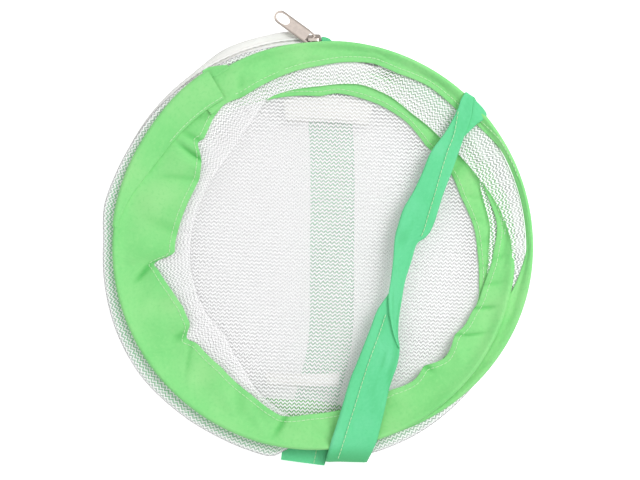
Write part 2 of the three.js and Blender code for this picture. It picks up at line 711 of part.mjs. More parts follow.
// Pull: flat tab with a square eye on the bridge and an oval finger loop
function pullGeometry() {
  const root = -PULL_BAR / 2;
  const tip = root + PULL_LENGTH;
  const half = PULL_WIDTH / 2;
  const rootHalf = PULL_ROOT_WIDTH / 2;
  const corner = PULL_BAR;
  const taper = PULL_EYE_LENGTH + 3 * PULL_BAR;
  const outline = new THREE.Shape();
  outline.moveTo(root, -rootHalf + corner);
  outline.lineTo(root + corner, -rootHalf);
  outline.lineTo(root + taper, -half);
  outline.lineTo(tip - half, -half);
  outline.absarc(tip - half, 0, half, -Math.PI / 2, Math.PI / 2);
  outline.lineTo(root + taper, half);
  outline.lineTo(root + corner, rootHalf);
  outline.lineTo(root, rootHalf - corner);
  outline.closePath();

  const eye = new THREE.Path();
  const eyeStart = PULL_BAR / 2;
  const eyeHalf = PULL_EYE_WIDTH / 2;
  eye.moveTo(eyeStart, -eyeHalf);
  eye.lineTo(eyeStart, eyeHalf);
  eye.lineTo(eyeStart + PULL_EYE_LENGTH, eyeHalf);
  eye.lineTo(eyeStart + PULL_EYE_LENGTH, -eyeHalf);
  eye.closePath();

  const loopCentre = tip - PULL_LOOP_RIM - PULL_LOOP_LENGTH / 2;
  const loopSize = new THREE.Vector2(PULL_LOOP_LENGTH / 2, PULL_LOOP_WIDTH / 2);
  const loopPoints = circleSection(1, PULL_LOOP_SIDES)
    .map((p) => p.multiply(loopSize).setX(p.x + loopCentre));
  const loop = new THREE.Path(loopPoints.reverse());
  outline.holes.push(eye, loop);
  const settings = { depth: PULL_THICKNESS, bevelEnabled: false, curveSegments: 10 };
  return new THREE.ExtrudeGeometry(outline, settings).translate(0, 0, -PULL_THICKNESS / 2);
}

function addSlider() {
  const runner = new THREE.Group();
  const seat = polar(BACK_CENTRE, zipRadius, SLIDER_ANGLE, 0);
  runner.position.copy(seat);
  runner.rotation.z = radians(SLIDER_ANGLE - 90);
  group.add(runner);
  addMesh('zip_slider', sliderGeometry(), NICKEL, runner);

  const heading = radians(PULL_HEADING - SLIDER_ANGLE + 90);
  const footX = -BRIDGE_OPENING_LENGTH / 2 - BRIDGE_BAR / 2;
  const eyeMiddle = PULL_BAR / 2 + PULL_EYE_LENGTH / 2;
  const bridgeFloor = rowTopZ + SEWN_GAP + SLIDER_PLATE;
  const pull = addMesh('zip_pull', pullGeometry(), NICKEL, runner);
  pull.position.set(
    footX - eyeMiddle * Math.cos(heading) + PULL_SIDE_SHIFT * Math.sin(heading),
    -eyeMiddle * Math.sin(heading) - PULL_SIDE_SHIFT * Math.cos(heading),
    bridgeFloor + BRIDGE_OPENING_HEIGHT / 2,
  );
  pull.rotation.z = heading;
}

// Strap of flat cloth: each station has a middle point, a sideways heading and a width
function strapGeometry(stations, thickness) {
  const sections = stations.map(({ middle, side, up, width }) => {
    const half = side.clone().multiplyScalar(width / 2);
    const lift = up.clone().multiplyScalar(thickness);
    const left = middle.clone().sub(half);
    const right = middle.clone().add(half);
    return [left, right, right.clone().add(lift), left.clone().add(lift)];
  });
  const flat = boxSection(-1, 1, 0, 1);
  return loft(sections, flat, false);
}

function addBackStrap() {
  const curve = new THREE.CatmullRomCurve3(BACK_STRAP_LINE.map(([x, y]) => new THREE.Vector3(x, y, 0)));
  const up = new THREE.Vector3(0, 0, 1);
  const side = new THREE.Vector3(1, 0, 0);
  const stations = curve.getPoints(STRAP_STEPS)
    .map((middle) => ({ middle, side, up, width: BACK_STRAP_WIDTH }));
  addMesh('back_strap', strapGeometry(stations, STRAP_CLOTH), STRAP_GREEN);
}

// Front strap: over both rims of the coil, with its ends turned down and in towards the front hoop
function addFrontStrap() {
  const first = FRONT_STRAP_LINE[0];
  const last = FRONT_STRAP_LINE[FRONT_STRAP_LINE.length - 1];
  const count = FRONT_STRAP_LINE.length;
  const upperRim = THREE.MathUtils.radToDeg(Math.atan2(first.y, first.x)) - 360;
  const lowerRim = THREE.MathUtils.radToDeg(Math.atan2(last.y, last.x));
  const rimTop = (angle) => coilPlace(angle).z + tunnelOuter + SEWN_GAP;
  const headings = { first: new THREE.Vector3(), last: new THREE.Vector3() };
  headings.first.set(Math.cos(radians(upperRim)), Math.sin(radians(upperRim)), 0);
  headings.last.set(0, -1, 0);
  const flat = FRONT_STRAP_LINE.map((p, i) => {
    const before = FRONT_STRAP_LINE[Math.max(i - 1, 0)];
    const after = FRONT_STRAP_LINE[Math.min(i + 1, count - 1)];
    const run = new THREE.Vector3(after.x - before.x, after.y - before.y, 0).normalize();
    const side = new THREE.Vector3(-run.y, run.x, 0);
    const z = THREE.MathUtils.lerp(rimTop(upperRim), rimTop(lowerRim), i / (count - 1));
    return { middle: new THREE.Vector3(p.x, p.y, z), side, up: new THREE.Vector3(0, 0, 1), width: p.width };
  });

  const turned = (station, out, rimReach) => {
    const side = new THREE.Vector3(-out.y, out.x, 0);
    const reach = rimReach - station.middle.dot(out);
    const edge = station.middle.clone().addScaledVector(out, reach);
    const floor = edge.clone();
    floor.z = frontAxisZ - tunnelOuter;
    const drop = new THREE.Vector3(0, 0, -1);
    const lip = floor.clone().addScaledVector(out, -FRONT_STRAP_LIP);
    const slant = out.clone().add(new THREE.Vector3(0, 0, 1));
    return [
      { middle: edge, side, up: slant, width: station.width },
      { middle: floor, side, up: out.clone().add(drop), width: station.width },
      { middle: lip, side, up: drop, width: station.width },
    ];
  };
  const rimReach = (angle, out) => {
    const { centre, radius } = coilPlace(angle);
    const coil = centre.x * out.x + centre.y * out.y + radius + tunnelOuter;
    const fold = REAR_FOLD_CENTRE.x * out.x + REAR_FOLD_CENTRE.y * out.y + rearFoldRadius;
    return Math.max(coil, fold) + FRONT_STRAP_RIM_CLEARANCE;
  };
  flat[0].side.set(-headings.first.y, headings.first.x, 0);
  flat[count - 1].side.set(-headings.last.y, headings.last.x, 0);
  const upperEnd = turned(flat[0], headings.first, rimReach(upperRim, headings.first));
  const lowerEnd = turned(flat[count - 1], headings.last, rimReach(lowerRim, headings.last));
  const stations = [...upperEnd.reverse(), ...flat, ...lowerEnd];
  stations.forEach((station, i) => {
    const next = stations[Math.min(i + 1, stations.length - 1)].middle;
    const before = stations[Math.max(i - 1, 0)].middle;
    const run = next.clone().sub(before);
    if (run.clone().cross(station.up).dot(station.side) > 0) {
      station.side.negate();
    }
  });
  addMesh('front_strap', strapGeometry(stations, STRAP_CLOTH), STRAP_GREEN);
}

addHoop('back', BACK_CENTRE, BACK_HOOP_RADIUS, backAxisZ, BACK_JOINT_ANGLE);
addRingCasing('back_hoop_casing', BACK_CENTRE, BACK_HOOP_RADIUS, backAxisZ, BACK_CASING_WIDTH);
addPanel('back_panel_net', BACK_CENTRE, BACK_HOOP_RADIUS, BACK_CASING_WIDTH, backAxisZ);
addBackStrap();
addZipChain();
addSlider();
addHoop('front', FRONT_CENTRE, FRONT_HOOP_RADIUS, frontAxisZ, FRONT_JOINT_ANGLE);
addRingCasing('front_hoop_casing', FRONT_CENTRE, FRONT_HOOP_RADIUS, frontAxisZ, FRONT_CASING_WIDTH);
addPanel('front_panel_net', FRONT_CENTRE, FRONT_HOOP_RADIUS, FRONT_CASING_WIDTH, frontAxisZ);
addCoilSpring();
addCoilCasing();
addWall();
addFrontStrap();

export default group;
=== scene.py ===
"""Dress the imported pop-up insect cage: its cloth casings, tricot mesh, zip, wire and straps, lying flat."""

import json
import math

import bpy
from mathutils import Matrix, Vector, noise


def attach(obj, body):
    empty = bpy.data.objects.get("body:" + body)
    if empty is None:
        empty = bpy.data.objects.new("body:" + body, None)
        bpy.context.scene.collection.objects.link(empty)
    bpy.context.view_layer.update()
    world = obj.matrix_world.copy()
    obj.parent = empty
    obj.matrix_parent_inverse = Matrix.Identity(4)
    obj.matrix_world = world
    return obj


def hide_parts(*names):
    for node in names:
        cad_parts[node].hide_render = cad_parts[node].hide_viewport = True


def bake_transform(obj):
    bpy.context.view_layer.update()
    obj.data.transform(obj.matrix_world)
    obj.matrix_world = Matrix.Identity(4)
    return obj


bl_info = {
    "name": "Insect Cage Dresser",
    "version": (1, 0, 0),
    "blender": (4, 5, 0),
    "location": "View3D > Sidebar > Cage",
    "description": "Dresses the packed pop-up insect cage with cloth, mesh, zip, wire and straps",
    "category": "Object",
}

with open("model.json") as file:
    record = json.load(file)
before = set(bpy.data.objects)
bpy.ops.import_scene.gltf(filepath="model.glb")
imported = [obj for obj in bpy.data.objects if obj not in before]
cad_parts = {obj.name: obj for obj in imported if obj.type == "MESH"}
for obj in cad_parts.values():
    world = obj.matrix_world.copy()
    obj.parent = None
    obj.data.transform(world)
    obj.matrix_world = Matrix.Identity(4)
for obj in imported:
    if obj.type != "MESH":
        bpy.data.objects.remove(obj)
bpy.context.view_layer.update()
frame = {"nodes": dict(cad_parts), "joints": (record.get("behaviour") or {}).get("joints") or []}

MM = 0.001
JOINTS = {joint["name"]: joint for joint in frame["joints"]}
TRAVEL = JOINTS["pop_up"]["range_m"][1] / MM

# Centres of the hoops and of the two turns of the coil, in millimetres
BACK_CENTRE = (-5.5, 7.5)
FRONT_CENTRE = (-4.0, 2.0)
UPPER_TURN_CENTRE = (-2.4, 1.7)
LOWER_TURN_CENTRE = (6.2, 2.1)
WALL_CENTRE = (-2.0, 2.0)

# Wires: radii and heights in millimetres, angles in degrees, rises as shares of the front end's travel
BACK_HOOP_RADIUS = 130.6
FRONT_HOOP_RADIUS = 125.6
UPPER_TURN_RADIUS = 136.3
LOWER_TURN_RADIUS = 139.4
LOWER_TURN_END_RADIUS = 133.5

BACK_HOOP_HEIGHT = 3.4
FRONT_HOOP_HEIGHT = 8.5
COIL_FOOT_HEIGHT = 13.56
COIL_PITCH = 5.06
COIL_FOOT_ANGLE = -450.0
COIL_HEAD_ANGLE = 12.0
COIL_FOOT_RISE = 0.12
COIL_HEAD_RISE = 0.88

# How far a popped-up casing's inner edge stands above its wire, for each millimetre of its width
CASING_TILT = 1.5

# Inner edges of the casings and of the mesh strip, in degrees and millimetres about each centre
UPPER_TURN_EDGE = [
    (117, 118), (121, 117), (128, 113), (131, 110), (136, 106), (138, 109.5), (140.5, 101), (144, 96),
    (149, 92), (155, 91.5), (163, 92.5), (171, 94), (177, 95.5), (183, 96), (184.6, 108), (185.4, 114),
    (187, 109), (197, 102), (204, 99), (212, 100), (215, 109), (219, 104), (232, 104), (247, 110),
    (259, 118), (262, 117), (268.4, 114.2), (278.6, 112.8), (298.4, 110.7), (302.3, 112.6), (307, 113.8),
    (310, 112.4), (312.8, 110.2), (315.6, 113.6), (319.8, 117.3), (323.4, 116.2), (328, 113.1),
    (332.6, 116.3), (338.4, 116.8), (340, 118.3), (346.8, 119.1), (352.1, 120.8), (354.6, 122.2),
    (359.1, 123.3), (3, 125.1), (6, 126.4), (8.8, 126.4), (13.9, 124.8), (17.5, 123.8), (21.7, 123.7),
    (30, 124),
]
LOWER_TURN_EDGE = [
    (150, 121), (125, 120.5), (119, 118), (110, 120), (99, 123), (92, 124.5), (86, 127), (76, 130),
    (68, 128.5), (58, 130.5), (47, 129.5), (38, 133), (30, 136.5), (22, 137.5), (8, 138.2), (0, 137.5),
    (355, 135), (350, 132.4), (344, 129), (320, 126), (270, 122),
]
FRONT_HOOP_EDGE = [
    (107, 106), (87, 104), (81, 107.5), (64, 108.5), (53, 108), (42, 105), (27, 108.5), (19, 108.1),
    (12, 110.4), (6.5, 112.5), (359, 113.9), (353.6, 115.6), (347.5, 117.7), (343.7, 120), (262, 119.5),
    (245, 113), (150, 111), (120, 109),
]
BACK_HOOP_EDGE = [
    (20, 119), (75, 118), (130, 119), (190, 118), (240, 116), (270, 111), (290, 122), (320, 124),
    (345, 124),
]
SLEEVE_EDGE = [
    (120, 119), (131, 120), (143, 121), (149, 122), (156, 124.5), (165, 130.5), (174, 135.5),
]
STRIP_EDGE = [
    (347, 137), (2, 134), (12, 129), (22, 122), (33, 117), (40, 114), (54, 113), (64, 115.5), (74, 116),
    (89, 110), (102, 108.5), (108, 107), (115, 98), (125, 90), (138, 85.5), (158, 84), (183, 86),
    (210, 87.5), (224, 86), (237, 94.5), (247, 105), (253, 111), (260, 115.5), (266, 124), (280, 129),
    (335, 132),
]
STRIP_ROOT = [
    (347, 143), (0, 144.5), (14, 144.5), (28, 143.5), (43, 142), (57, 140.5), (72, 138.5), (87, 136.5),
    (102, 134), (125, 130), (180, 129), (250, 130), (300, 132), (330, 138),
]
BULGE_EDGE = [
    (84, 137), (92, 138), (99, 139.6), (110, 142), (124, 142.2), (132, 143.6), (139, 144.4),
    (149, 144.6), (160, 146), (169, 148), (178, 145.5), (191, 147), (204, 148.5), (216, 149),
    (228, 147.5), (242, 146.5), (253, 147), (259.6, 147.5), (262, 138), (274, 137), (281, 146),
    (286, 147), (299, 146.5), (318, 145), (335, 143.5), (0, 143.5), (30, 143), (60, 140),
]

# Heights of the wall's bulge, and of the strip's root and inner fold, in degrees and millimetres
BULGE_HEIGHT = [
    (0, 11.9), (90, 13.2), (150, 14.1), (180, 14.4), (235, 14.6), (262, 13.4), (285, 12.6), (330, 12.2),
]
STRIP_ROOT_HEIGHT = [
    (0, 14.2), (30, 14.0), (60, 13.4), (90, 13.2), (180, 13.4), (240, 13.4), (300, 12.4), (350, 12.9),
]
STRIP_EDGE_HEIGHT = [
    (0, 14.8), (12, 14.2), (25, 13.0), (40, 11.9), (60, 11.6), (90, 11.5), (108, 10.8), (125, 9.5),
    (240, 9.5), (255, 11.0), (300, 11.2), (350, 12.8),
]

# Share of the gaps in the wall's bulge and strip that show painted dark green shade, for mesh lying doubled
# over green cloth, or that more mesh closes if below 0
BULGE_GAP_SHADE = [
    (84, 0.1), (126, 0.15), (140, 0.7), (165, 1.0), (250, 0.95), (285, 0.8), (330, 0.5), (350, 0.2),
    (40, 0.1),
]
STRIP_GAP_SHADE_AND_CLOSURE = [
    (5, 0.15), (20, 0.3), (35, 0.55), (50, 0.75), (60, 0.6), (70, -0.2), (74, -0.8), (96, -0.8),
    (100, 0.5), (112, 0.4), (120, -0.5), (150, -0.6), (181, -0.5), (187, 0.8), (200, 0.7), (208, -0.2),
    (214, -0.5), (235, -0.5), (250, 0.4), (262, 0.5),
]

# Creases: angle and share of the width at the gathered edge, the same at the far end, depth and spread
UPPER_TURN_CREASES = [
    (184.9, 1.0, 191, 0.35, 2.5, 1.1), (181, 1.0, 178, 0.3, -1.2, 4.0), (190, 0.9, 197, 0.35, -1.2, 3.5),
    (214.3, 1.0, 212.3, 0.6, 1.9, 1.5), (217, 1.0, 226, 0.3, 1.1, 1.0), (211, 1.0, 206, 0.4, -1.1, 3.5),
    (260.3, 1.0, 257.8, 0.2, 2.0, 1.0), (255, 0.9, 252, 0.3, -0.9, 4.0),
    (142.4, 1.0, 142.6, 0.45, 2.0, 0.8), (140.4, 0.95, 141, 0.5, -1.0, 1.2),
    (146, 0.95, 147, 0.45, -1.0, 2.0), (150, 0.95, 156, 0.35, 1.0, 1.6),
    (313, 1.0, 313.5, 0.75, 1.8, 1.2), (328.2, 1.0, 333.8, 0.25, 1.7, 0.7),
    (325, 0.9, 322, 0.4, -0.9, 2.5), (339.3, 1.0, 342, 0.3, 1.6, 0.7), (344, 0.9, 345, 0.4, -0.6, 1.6),
    (347.5, 1.0, 350, 0.2, 0.9, 0.8), (356, 1.0, 358, 0.3, 0.8, 1.0), (127, 0.95, 133, 0.5, 1.0, 1.2),
    (137, 1.0, 139, 0.5, 1.4, 1.1), (160, 0.9, 166, 0.2, -1.0, 5.0), (172, 0.8, 167, 0.2, 0.8, 3.0),
    (203, 0.8, 208, 0.2, -0.8, 5.0), (232, 0.9, 238, 0.3, -0.8, 5.0), (243, 0.9, 247, 0.3, 0.7, 3.0),
    (275, 0.9, 277, 0.3, 0.6, 2.5),
]
LOWER_TURN_CREASES = [
    (110, 0.9, 84, 0.45, 0.6, 2.5), (98, 0.6, 70, 0.4, -0.7, 6.0), (76, 1.0, 72, 0.3, 0.6, 1.5),
    (120, 1.0, 116, 0.3, 0.9, 1.5), (114, 1.0, 111, 0.4, -0.7, 2.0),
]
FRONT_HOOP_CREASES = [
    (40, 1.0, 43, 0.2, 0.7, 1.0), (27, 1.0, 31, 0.2, 0.7, 1.4), (19, 0.9, 16, 0.2, 0.7, 1.0),
    (10, 1.0, 8, 0.3, 0.7, 1.0), (1, 1.0, 3, 0.2, 0.8, 0.9), (353, 1.0, 355, 0.2, 0.8, 0.9),
]

# The carrying straps: left and right edge points of each station, in millimetres
FRONT_STRAP_UPPER = [
    ((101.5, 103.5, 9.5), (108.5, 98.0, 9.5)), ((103.0, 106.5, 13.0), (109.5, 100.5, 13.0)),
    ((100.8, 107.9, 18.2), (106.6, 104.4, 18.4)), ((97.5, 102.5, 19.4), (105.6, 98.4, 19.8)),
    ((94.9, 95.2, 19.2), (104.3, 90.0, 19.8)), ((87.6, 81.6, 19.0), (100.1, 78.0, 19.3)),
    ((77.1, 67.0, 18.9), (95.7, 65.4, 18.9)), ((71.4, 53.4, 19.0), (90.7, 51.3, 19.0)),
    ((65.6, 40.9, 19.1), (85.5, 37.8, 19.1)), ((58.3, 28.3, 19.2), (80.3, 21.0, 19.2)),
    ((54.6, 16.8, 19.4), (76.6, 12.4, 19.3)), ((52.9, 10.8, 19.6), (72.7, 8.0, 19.5)),
    ((52.0, 4.1, 19.8), (67.4, 3.8, 19.7)), ((51.3, -6.4, 20.0), (63.7, -7.9, 19.9)),
    ((49.7, -19.9, 20.2), (59.6, -21.0, 20.1)), ((48.1, -30.4, 20.3), (57.3, -33.5, 20.2)),
    ((48.2, -38.7, 20.4), (56.0, -41.9, 20.3)), ((49.1, -46.6, 20.4), (55.1, -49.2, 20.3)),
    ((51.5, -57.5, 20.3), (54.8, -58.6, 20.2)), ((55.0, -66.4, 20.0), (55.8, -67.1, 20.0)),
]
FRONT_STRAP_LOWER = [
    ((50.5, -24.1, 18.4), (53.1, -26.2, 18.4)), ((47.7, -30.4, 18.6), (54.7, -35.6, 18.6)),
    ((40.5, -41.1, 18.8), (55.0, -48.2, 18.8)), ((35.8, -53.4, 18.9), (54.9, -59.1, 18.9)),
    ((30.1, -68.0, 19.1), (55.9, -68.0, 19.0)), ((25.9, -78.5, 19.4), (54.2, -78.5, 19.3)),
    ((22.6, -86.3, 19.7), (51.5, -86.0, 19.7)), ((19.4, -96.3, 20.1), (48.7, -94.7, 20.0)),
    ((16.3, -107.2, 20.6), (45.0, -110.9, 20.8)), ((12.5, -119.3, 21.4), (42.4, -121.3, 21.4)),
    ((9.4, -128.7, 21.9), (40.4, -129.2, 21.9)), ((7.1, -137.0, 20.4), (37.2, -137.2, 20.4)),
    ((5.4, -144.1, 15.2), (33.9, -144.7, 15.2)), ((5.6, -145.4, 11.0), (33.9, -145.7, 11.0)),
    ((6.4, -143.5, 7.5), (33.8, -143.8, 7.5)), ((7.0, -136.0, 5.6), (33.0, -136.0, 5.6)),
]
FRONT_STRAP_CORNER = [
    ((105.4, 104.2, 17.9), (106.5, 104.0, 17.8)), ((105.2, 98.6, 18.2), (115.6, 92.9, 16.6)),
    ((103.1, 88.4, 18.2), (107.7, 85.2, 17.6)), ((99.6, 78.4, 18.2), (100.4, 78.0, 18.0)),
]
FRONT_STRAP_UPPER_SEAM = [0.1, 0.45, 0.59, 0.64, 0.72, 0.76, 0.8, 0.85]
FRONT_STRAP_LOWER_SEAM = [0.4, 0.35, 0.3, 0.29, 0.31, 0.31, 0.29, 0.28, 0.28, 0.28, 0.28]
PANEL_BAND = [
    ((-36.5, -84.8, 7.1), (-36.0, -93.6, 7.1)), ((-10.0, -85.6, 7.1), (-10.0, -94.4, 7.1)),
    ((15.0, -85.0, 7.1), (14.6, -93.8, 7.1)),
]
PANEL_TOP_BAND = [
    ((-24.0, 104.0, 6.9), (-22.0, 88.0, 6.9)), ((8.0, 106.5, 6.9), (9.0, 88.5, 6.9)),
    ((38.0, 101.0, 6.9), (35.0, 85.0, 6.9)),
]
SLEEVE_FLAP = [
    ((-79.4, 122.3, 17.0), (-78.2, 121.0, 17.5)), ((-76.0, 124.9, 15.4), (-72.6, 118.0, 17.4)),
    ((-70.5, 126.2, 15.4), (-67.0, 119.9, 17.5)), ((-62.0, 126.9, 16.6), (-60.2, 124.0, 18.5)),
]
ZIP_END_TAB = [
    ((2.6, 147.2, 8.9), (2.6, 140.0, 8.9)), ((4.6, 147.0, 8.9), (4.6, 140.0, 8.9)),
    ((7.2, 146.2, 8.9), (7.0, 140.0, 8.9)), ((9.8, 144.2, 8.8), (9.4, 140.0, 8.8)),
]
BACK_STRAP = [
    ((-25.6, -144.8, 8.6), (4.4, -148.8, 8.6)), ((-24.5, -136.0, 8.0), (7.4, -138.0, 8.0)),
    ((-23.5, -129.5, 3.4), (8.0, -131.5, 3.4)), ((-21.0, -118.0, 0.8), (8.5, -120.0, 0.8)),
    ((-14.0, -95.0, 0.5), (16.0, -97.0, 0.5)), ((-6.5, -60.0, 0.5), (24.0, -60.0, 0.5)),
    ((-5.5, 0.0, 0.5), (25.0, 0.0, 0.5)), ((-5.5, 70.0, 0.5), (25.0, 70.0, 0.5)),
    ((-9.0, 110.0, 0.5), (20.0, 112.0, 0.5)), ((-12.0, 143.0, 0.7), (10.5, 143.0, 0.7)),
]


class CageSizes(bpy.types.PropertyGroup):
    """Sizes of the cloth, thread, knit and wire that a user may change."""

    tunnel_radius: bpy.props.FloatProperty(
        name="Tunnel radius", description="Radius of the cloth tunnel round each wire",
        default=0.0021, unit="LENGTH")
    layer_gap: bpy.props.FloatProperty(
        name="Layer gap", description="Half the thickness of a casing where its two layers lie together",
        default=0.00045, unit="LENGTH")
    strap_thickness: bpy.props.FloatProperty(
        name="Strap thickness", description="Thickness of the folded and stitched strap",
        default=0.0012, unit="LENGTH")
    stitch_length: bpy.props.FloatProperty(
        name="Stitch length", description="Length of thread that shows in one stitch",
        default=0.0027, unit="LENGTH")
    stitch_gap: bpy.props.FloatProperty(
        name="Stitch gap", description="Gap between two stitches",
        default=0.0005, unit="LENGTH")
    thread_radius: bpy.props.FloatProperty(
        name="Thread radius", description="Radius of the sewing thread",
        default=0.00026, unit="LENGTH")
    knit_row: bpy.props.FloatProperty(
        name="Knit row", description="Distance between two zigzag rows of the tricot mesh",
        default=0.0025, unit="LENGTH")
    knit_zigzag: bpy.props.FloatProperty(
        name="Knit zigzag", description="Length of one zigzag along a row of the tricot mesh",
        default=0.0031, unit="LENGTH")
    wire_radius: bpy.props.FloatProperty(
        name="Wire radius", description="Radius of the spring wire",
        default=0.00075, unit="LENGTH")


class CageColours(bpy.types.PropertyGroup):
    """Colours of the cage's finishes."""

    casing: bpy.props.FloatVectorProperty(
        name="Casing", description="Green of the casing cloth", subtype="COLOR", size=4,
        default=(0.238, 0.705, 0.232, 1.0), min=0.0, max=1.0)
    strap: bpy.props.FloatVectorProperty(
        name="Strap", description="Bluish green of the straps", subtype="COLOR", size=4,
        default=(0.13, 0.665, 0.305, 1.0), min=0.0, max=1.0)
    mesh: bpy.props.FloatVectorProperty(
        name="Mesh", description="White of the tricot mesh", subtype="COLOR", size=4,
        default=(0.955, 0.95, 0.955, 1.0), min=0.0, max=1.0)
    # Painted shade: the dark green that the mesh's gaps show where it lies doubled over green cloth
    gap: bpy.props.FloatVectorProperty(
        name="Backed gap", description="Shade in the gaps of mesh that lies doubled over green cloth",
        subtype="COLOR", size=4, default=(0.06, 0.45, 0.14, 1.0), min=0.0, max=1.0)
    thread: bpy.props.FloatVectorProperty(
        name="Thread", description="Pale sewing thread", subtype="COLOR", size=4,
        default=(0.62, 0.88, 0.55, 1.0), min=0.0, max=1.0)
    tape: bpy.props.FloatVectorProperty(
        name="Zip tape", description="Off-white woven zip tape", subtype="COLOR", size=4,
        default=(0.86, 0.86, 0.83, 1.0), min=0.0, max=1.0)
    nylon: bpy.props.FloatVectorProperty(
        name="Zip nylon", description="Off-white nylon of the zip rows and caps", subtype="COLOR", size=4,
        default=(0.86, 0.87, 0.84, 1.0), min=0.0, max=1.0)
    steel: bpy.props.FloatVectorProperty(
        name="Spring steel", description="Drawn spring wire", subtype="COLOR", size=4,
        default=(0.55, 0.56, 0.57, 1.0), min=0.0, max=1.0)
    nickel: bpy.props.FloatVectorProperty(
        name="Nickel", description="Warm nickel plate of the slider and pull", subtype="COLOR", size=4,
        default=(0.64, 0.56, 0.505, 1.0), min=0.0, max=1.0)


def sizes():
    """Return the sizes that the scene holds."""
    return bpy.context.scene.cage_sizes


def colours():
    """Return the colours that the scene holds."""
    return bpy.context.scene.cage_colours


# Small helpers for angles and curves

FULL_TURN = (0, 360)
LEAST_SPAN = 1e-6
RIPPLE_ACROSS = 2.0
RIPPLE_APART = 7.3


def lerp(first, second, share):
    """Return the value a share of the way from first to second."""
    return first + (second - first) * share


def smooth(value, low, high):
    """Return a soft step from 0 at low to 1 at high."""
    share = min(1.0, max(0.0, (value - low) / (high - low)))
    return share * share * (3 - 2 * share)


def bell(offset, spread):
    """Return a soft bump: 1 where the offset is nothing, falling to 0 a few spreads away."""
    return math.exp(-(offset / spread) ** 2)


def constant(value):
    """Return a function of angle that is the same all round."""
    return lambda angle: value


def polar(centre, angle, radius, height):
    """Return the point at an angle in degrees and a radius about a centre, in millimetres."""
    turn = math.radians(angle)
    return Vector((centre[0] + radius * math.cos(turn), centre[1] + radius * math.sin(turn), height))


def edge_curve(points, softness=1.2):
    """Return a function of angle through given (degrees, value) points, a little rounded."""
    ordered = sorted((angle % 360, value) for angle, value in points)
    first = ordered[0]
    last = ordered[-1]
    ordered = [(last[0] - 360, last[1])] + ordered + [(first[0] + 360, first[1])]

    def straight(angle):
        """Value on the straight lines between the points."""
        angle = angle % 360
        for (low, low_value), (high, high_value) in zip(ordered, ordered[1:]):
            if low <= angle <= high:
                return lerp(low_value, high_value, (angle - low) / max(high - low, LEAST_SPAN))
        return last[1]

    def rounded(angle):
        """Value with its corners softened."""
        return 0.5 * straight(angle) + 0.25 * (straight(angle - softness) + straight(angle + softness))

    return rounded


def ripple(angle, across, scale, seed):
    """Return a smooth wobble between about -1 and 1 that closes round the ring."""
    turn = math.radians(angle)
    depth = across * RIPPLE_ACROSS + seed * RIPPLE_APART
    return noise.noise(Vector((scale * math.cos(turn), scale * math.sin(turn), depth)))


def spline(points, share):
    """Return the point a share of the way along a smooth curve through the given vectors."""
    place = min(max(share, 0.0), 1.0) * (len(points) - 1)
    index = min(int(place), len(points) - 2)
    t = place - index
    before = points[max(index - 1, 0)]
    start = points[index]
    end = points[index + 1]
    after = points[min(index + 2, len(points) - 1)]
    return 0.5 * ((2 * start) + (end - before) * t + (2 * before - 5 * start + 4 * end - after) * t * t
                  + (3 * start - before - 3 * end + after) * t * t * t)


# Node groups and materials

# Tricot knit: how far its threads wander, the slope of its zigzag, how its holes and threads fade, and how
# strong the painted shade in its gaps is
KNIT_WANDER_SCALE = 160.0
KNIT_WANDER = 0.0016
ZIGZAG_SLOPE = 1.45
SLIT_CORE = 0.7
LIMB_END = (0.38, 0.5)
KNIT_RIDGE = (0.05, 0.5)
THICK_THREAD = (0.1, 0.42)
THIN_THREAD_TINT = (0.97, 0.975, 0.98)
GAP_SHADE_STRENGTH = 0.75

# Plain weave: the pitch of its threads, its broad random patches of painted light and shade, how its slubs
# change the colour, and the tint of painted shade in a crease
WEAVE_THREAD = 0.0007
LIGHT_PATCH_SCALE = 22.0
PAINTED_LIGHT_PATCH = (0.45, 0.75)
PAINTED_SHADE_PATCH = (0.5, 0.25)
PAINTED_SHADE_PATCH_SHARE = 0.7
SLUB_SCALE = 420.0
SLUB_LIT = (0.5, 0.75)
SLUB_LIT_SHARE = 0.4
SLUB_DARK = (0.5, 0.25)
SLUB_DARK_SHARE = 0.35
CREASE_SHADE_TINT = (0.42, 0.72, 0.5)

# Metal: its rubbing marks, how upright a face counts as an edge, and the tints of worn plate and of the
# painted shade on its edges
RUB_SCALE = 2600.0
WEAR_SCALE = 300.0
WORN = (0.35, 0.7)
UPRIGHT_FACE = (0.68, 0.97)
DULL_TINT = (0.84, 0.84, 0.85)
EDGE_SHADE_TINT = (0.14, 0.13, 0.12)
PULL_RIM = (0.0030, 0.0042)
PULL_RIM_SHADE = 0.55
SLIDER_FLOOR = (0.0092, 0.0098)
SLIDER_FLOOR_SHADE = 0.6

# Scale and tint of the sewing thread's twist and of the nylon's mottle
TWIST_SCALE = 2400.0
TWIST_TINT = (0.86, 0.92, 0.86)
MOTTLE_SCALE = 900.0
MOTTLE_TINT = (0.93, 0.93, 0.92)


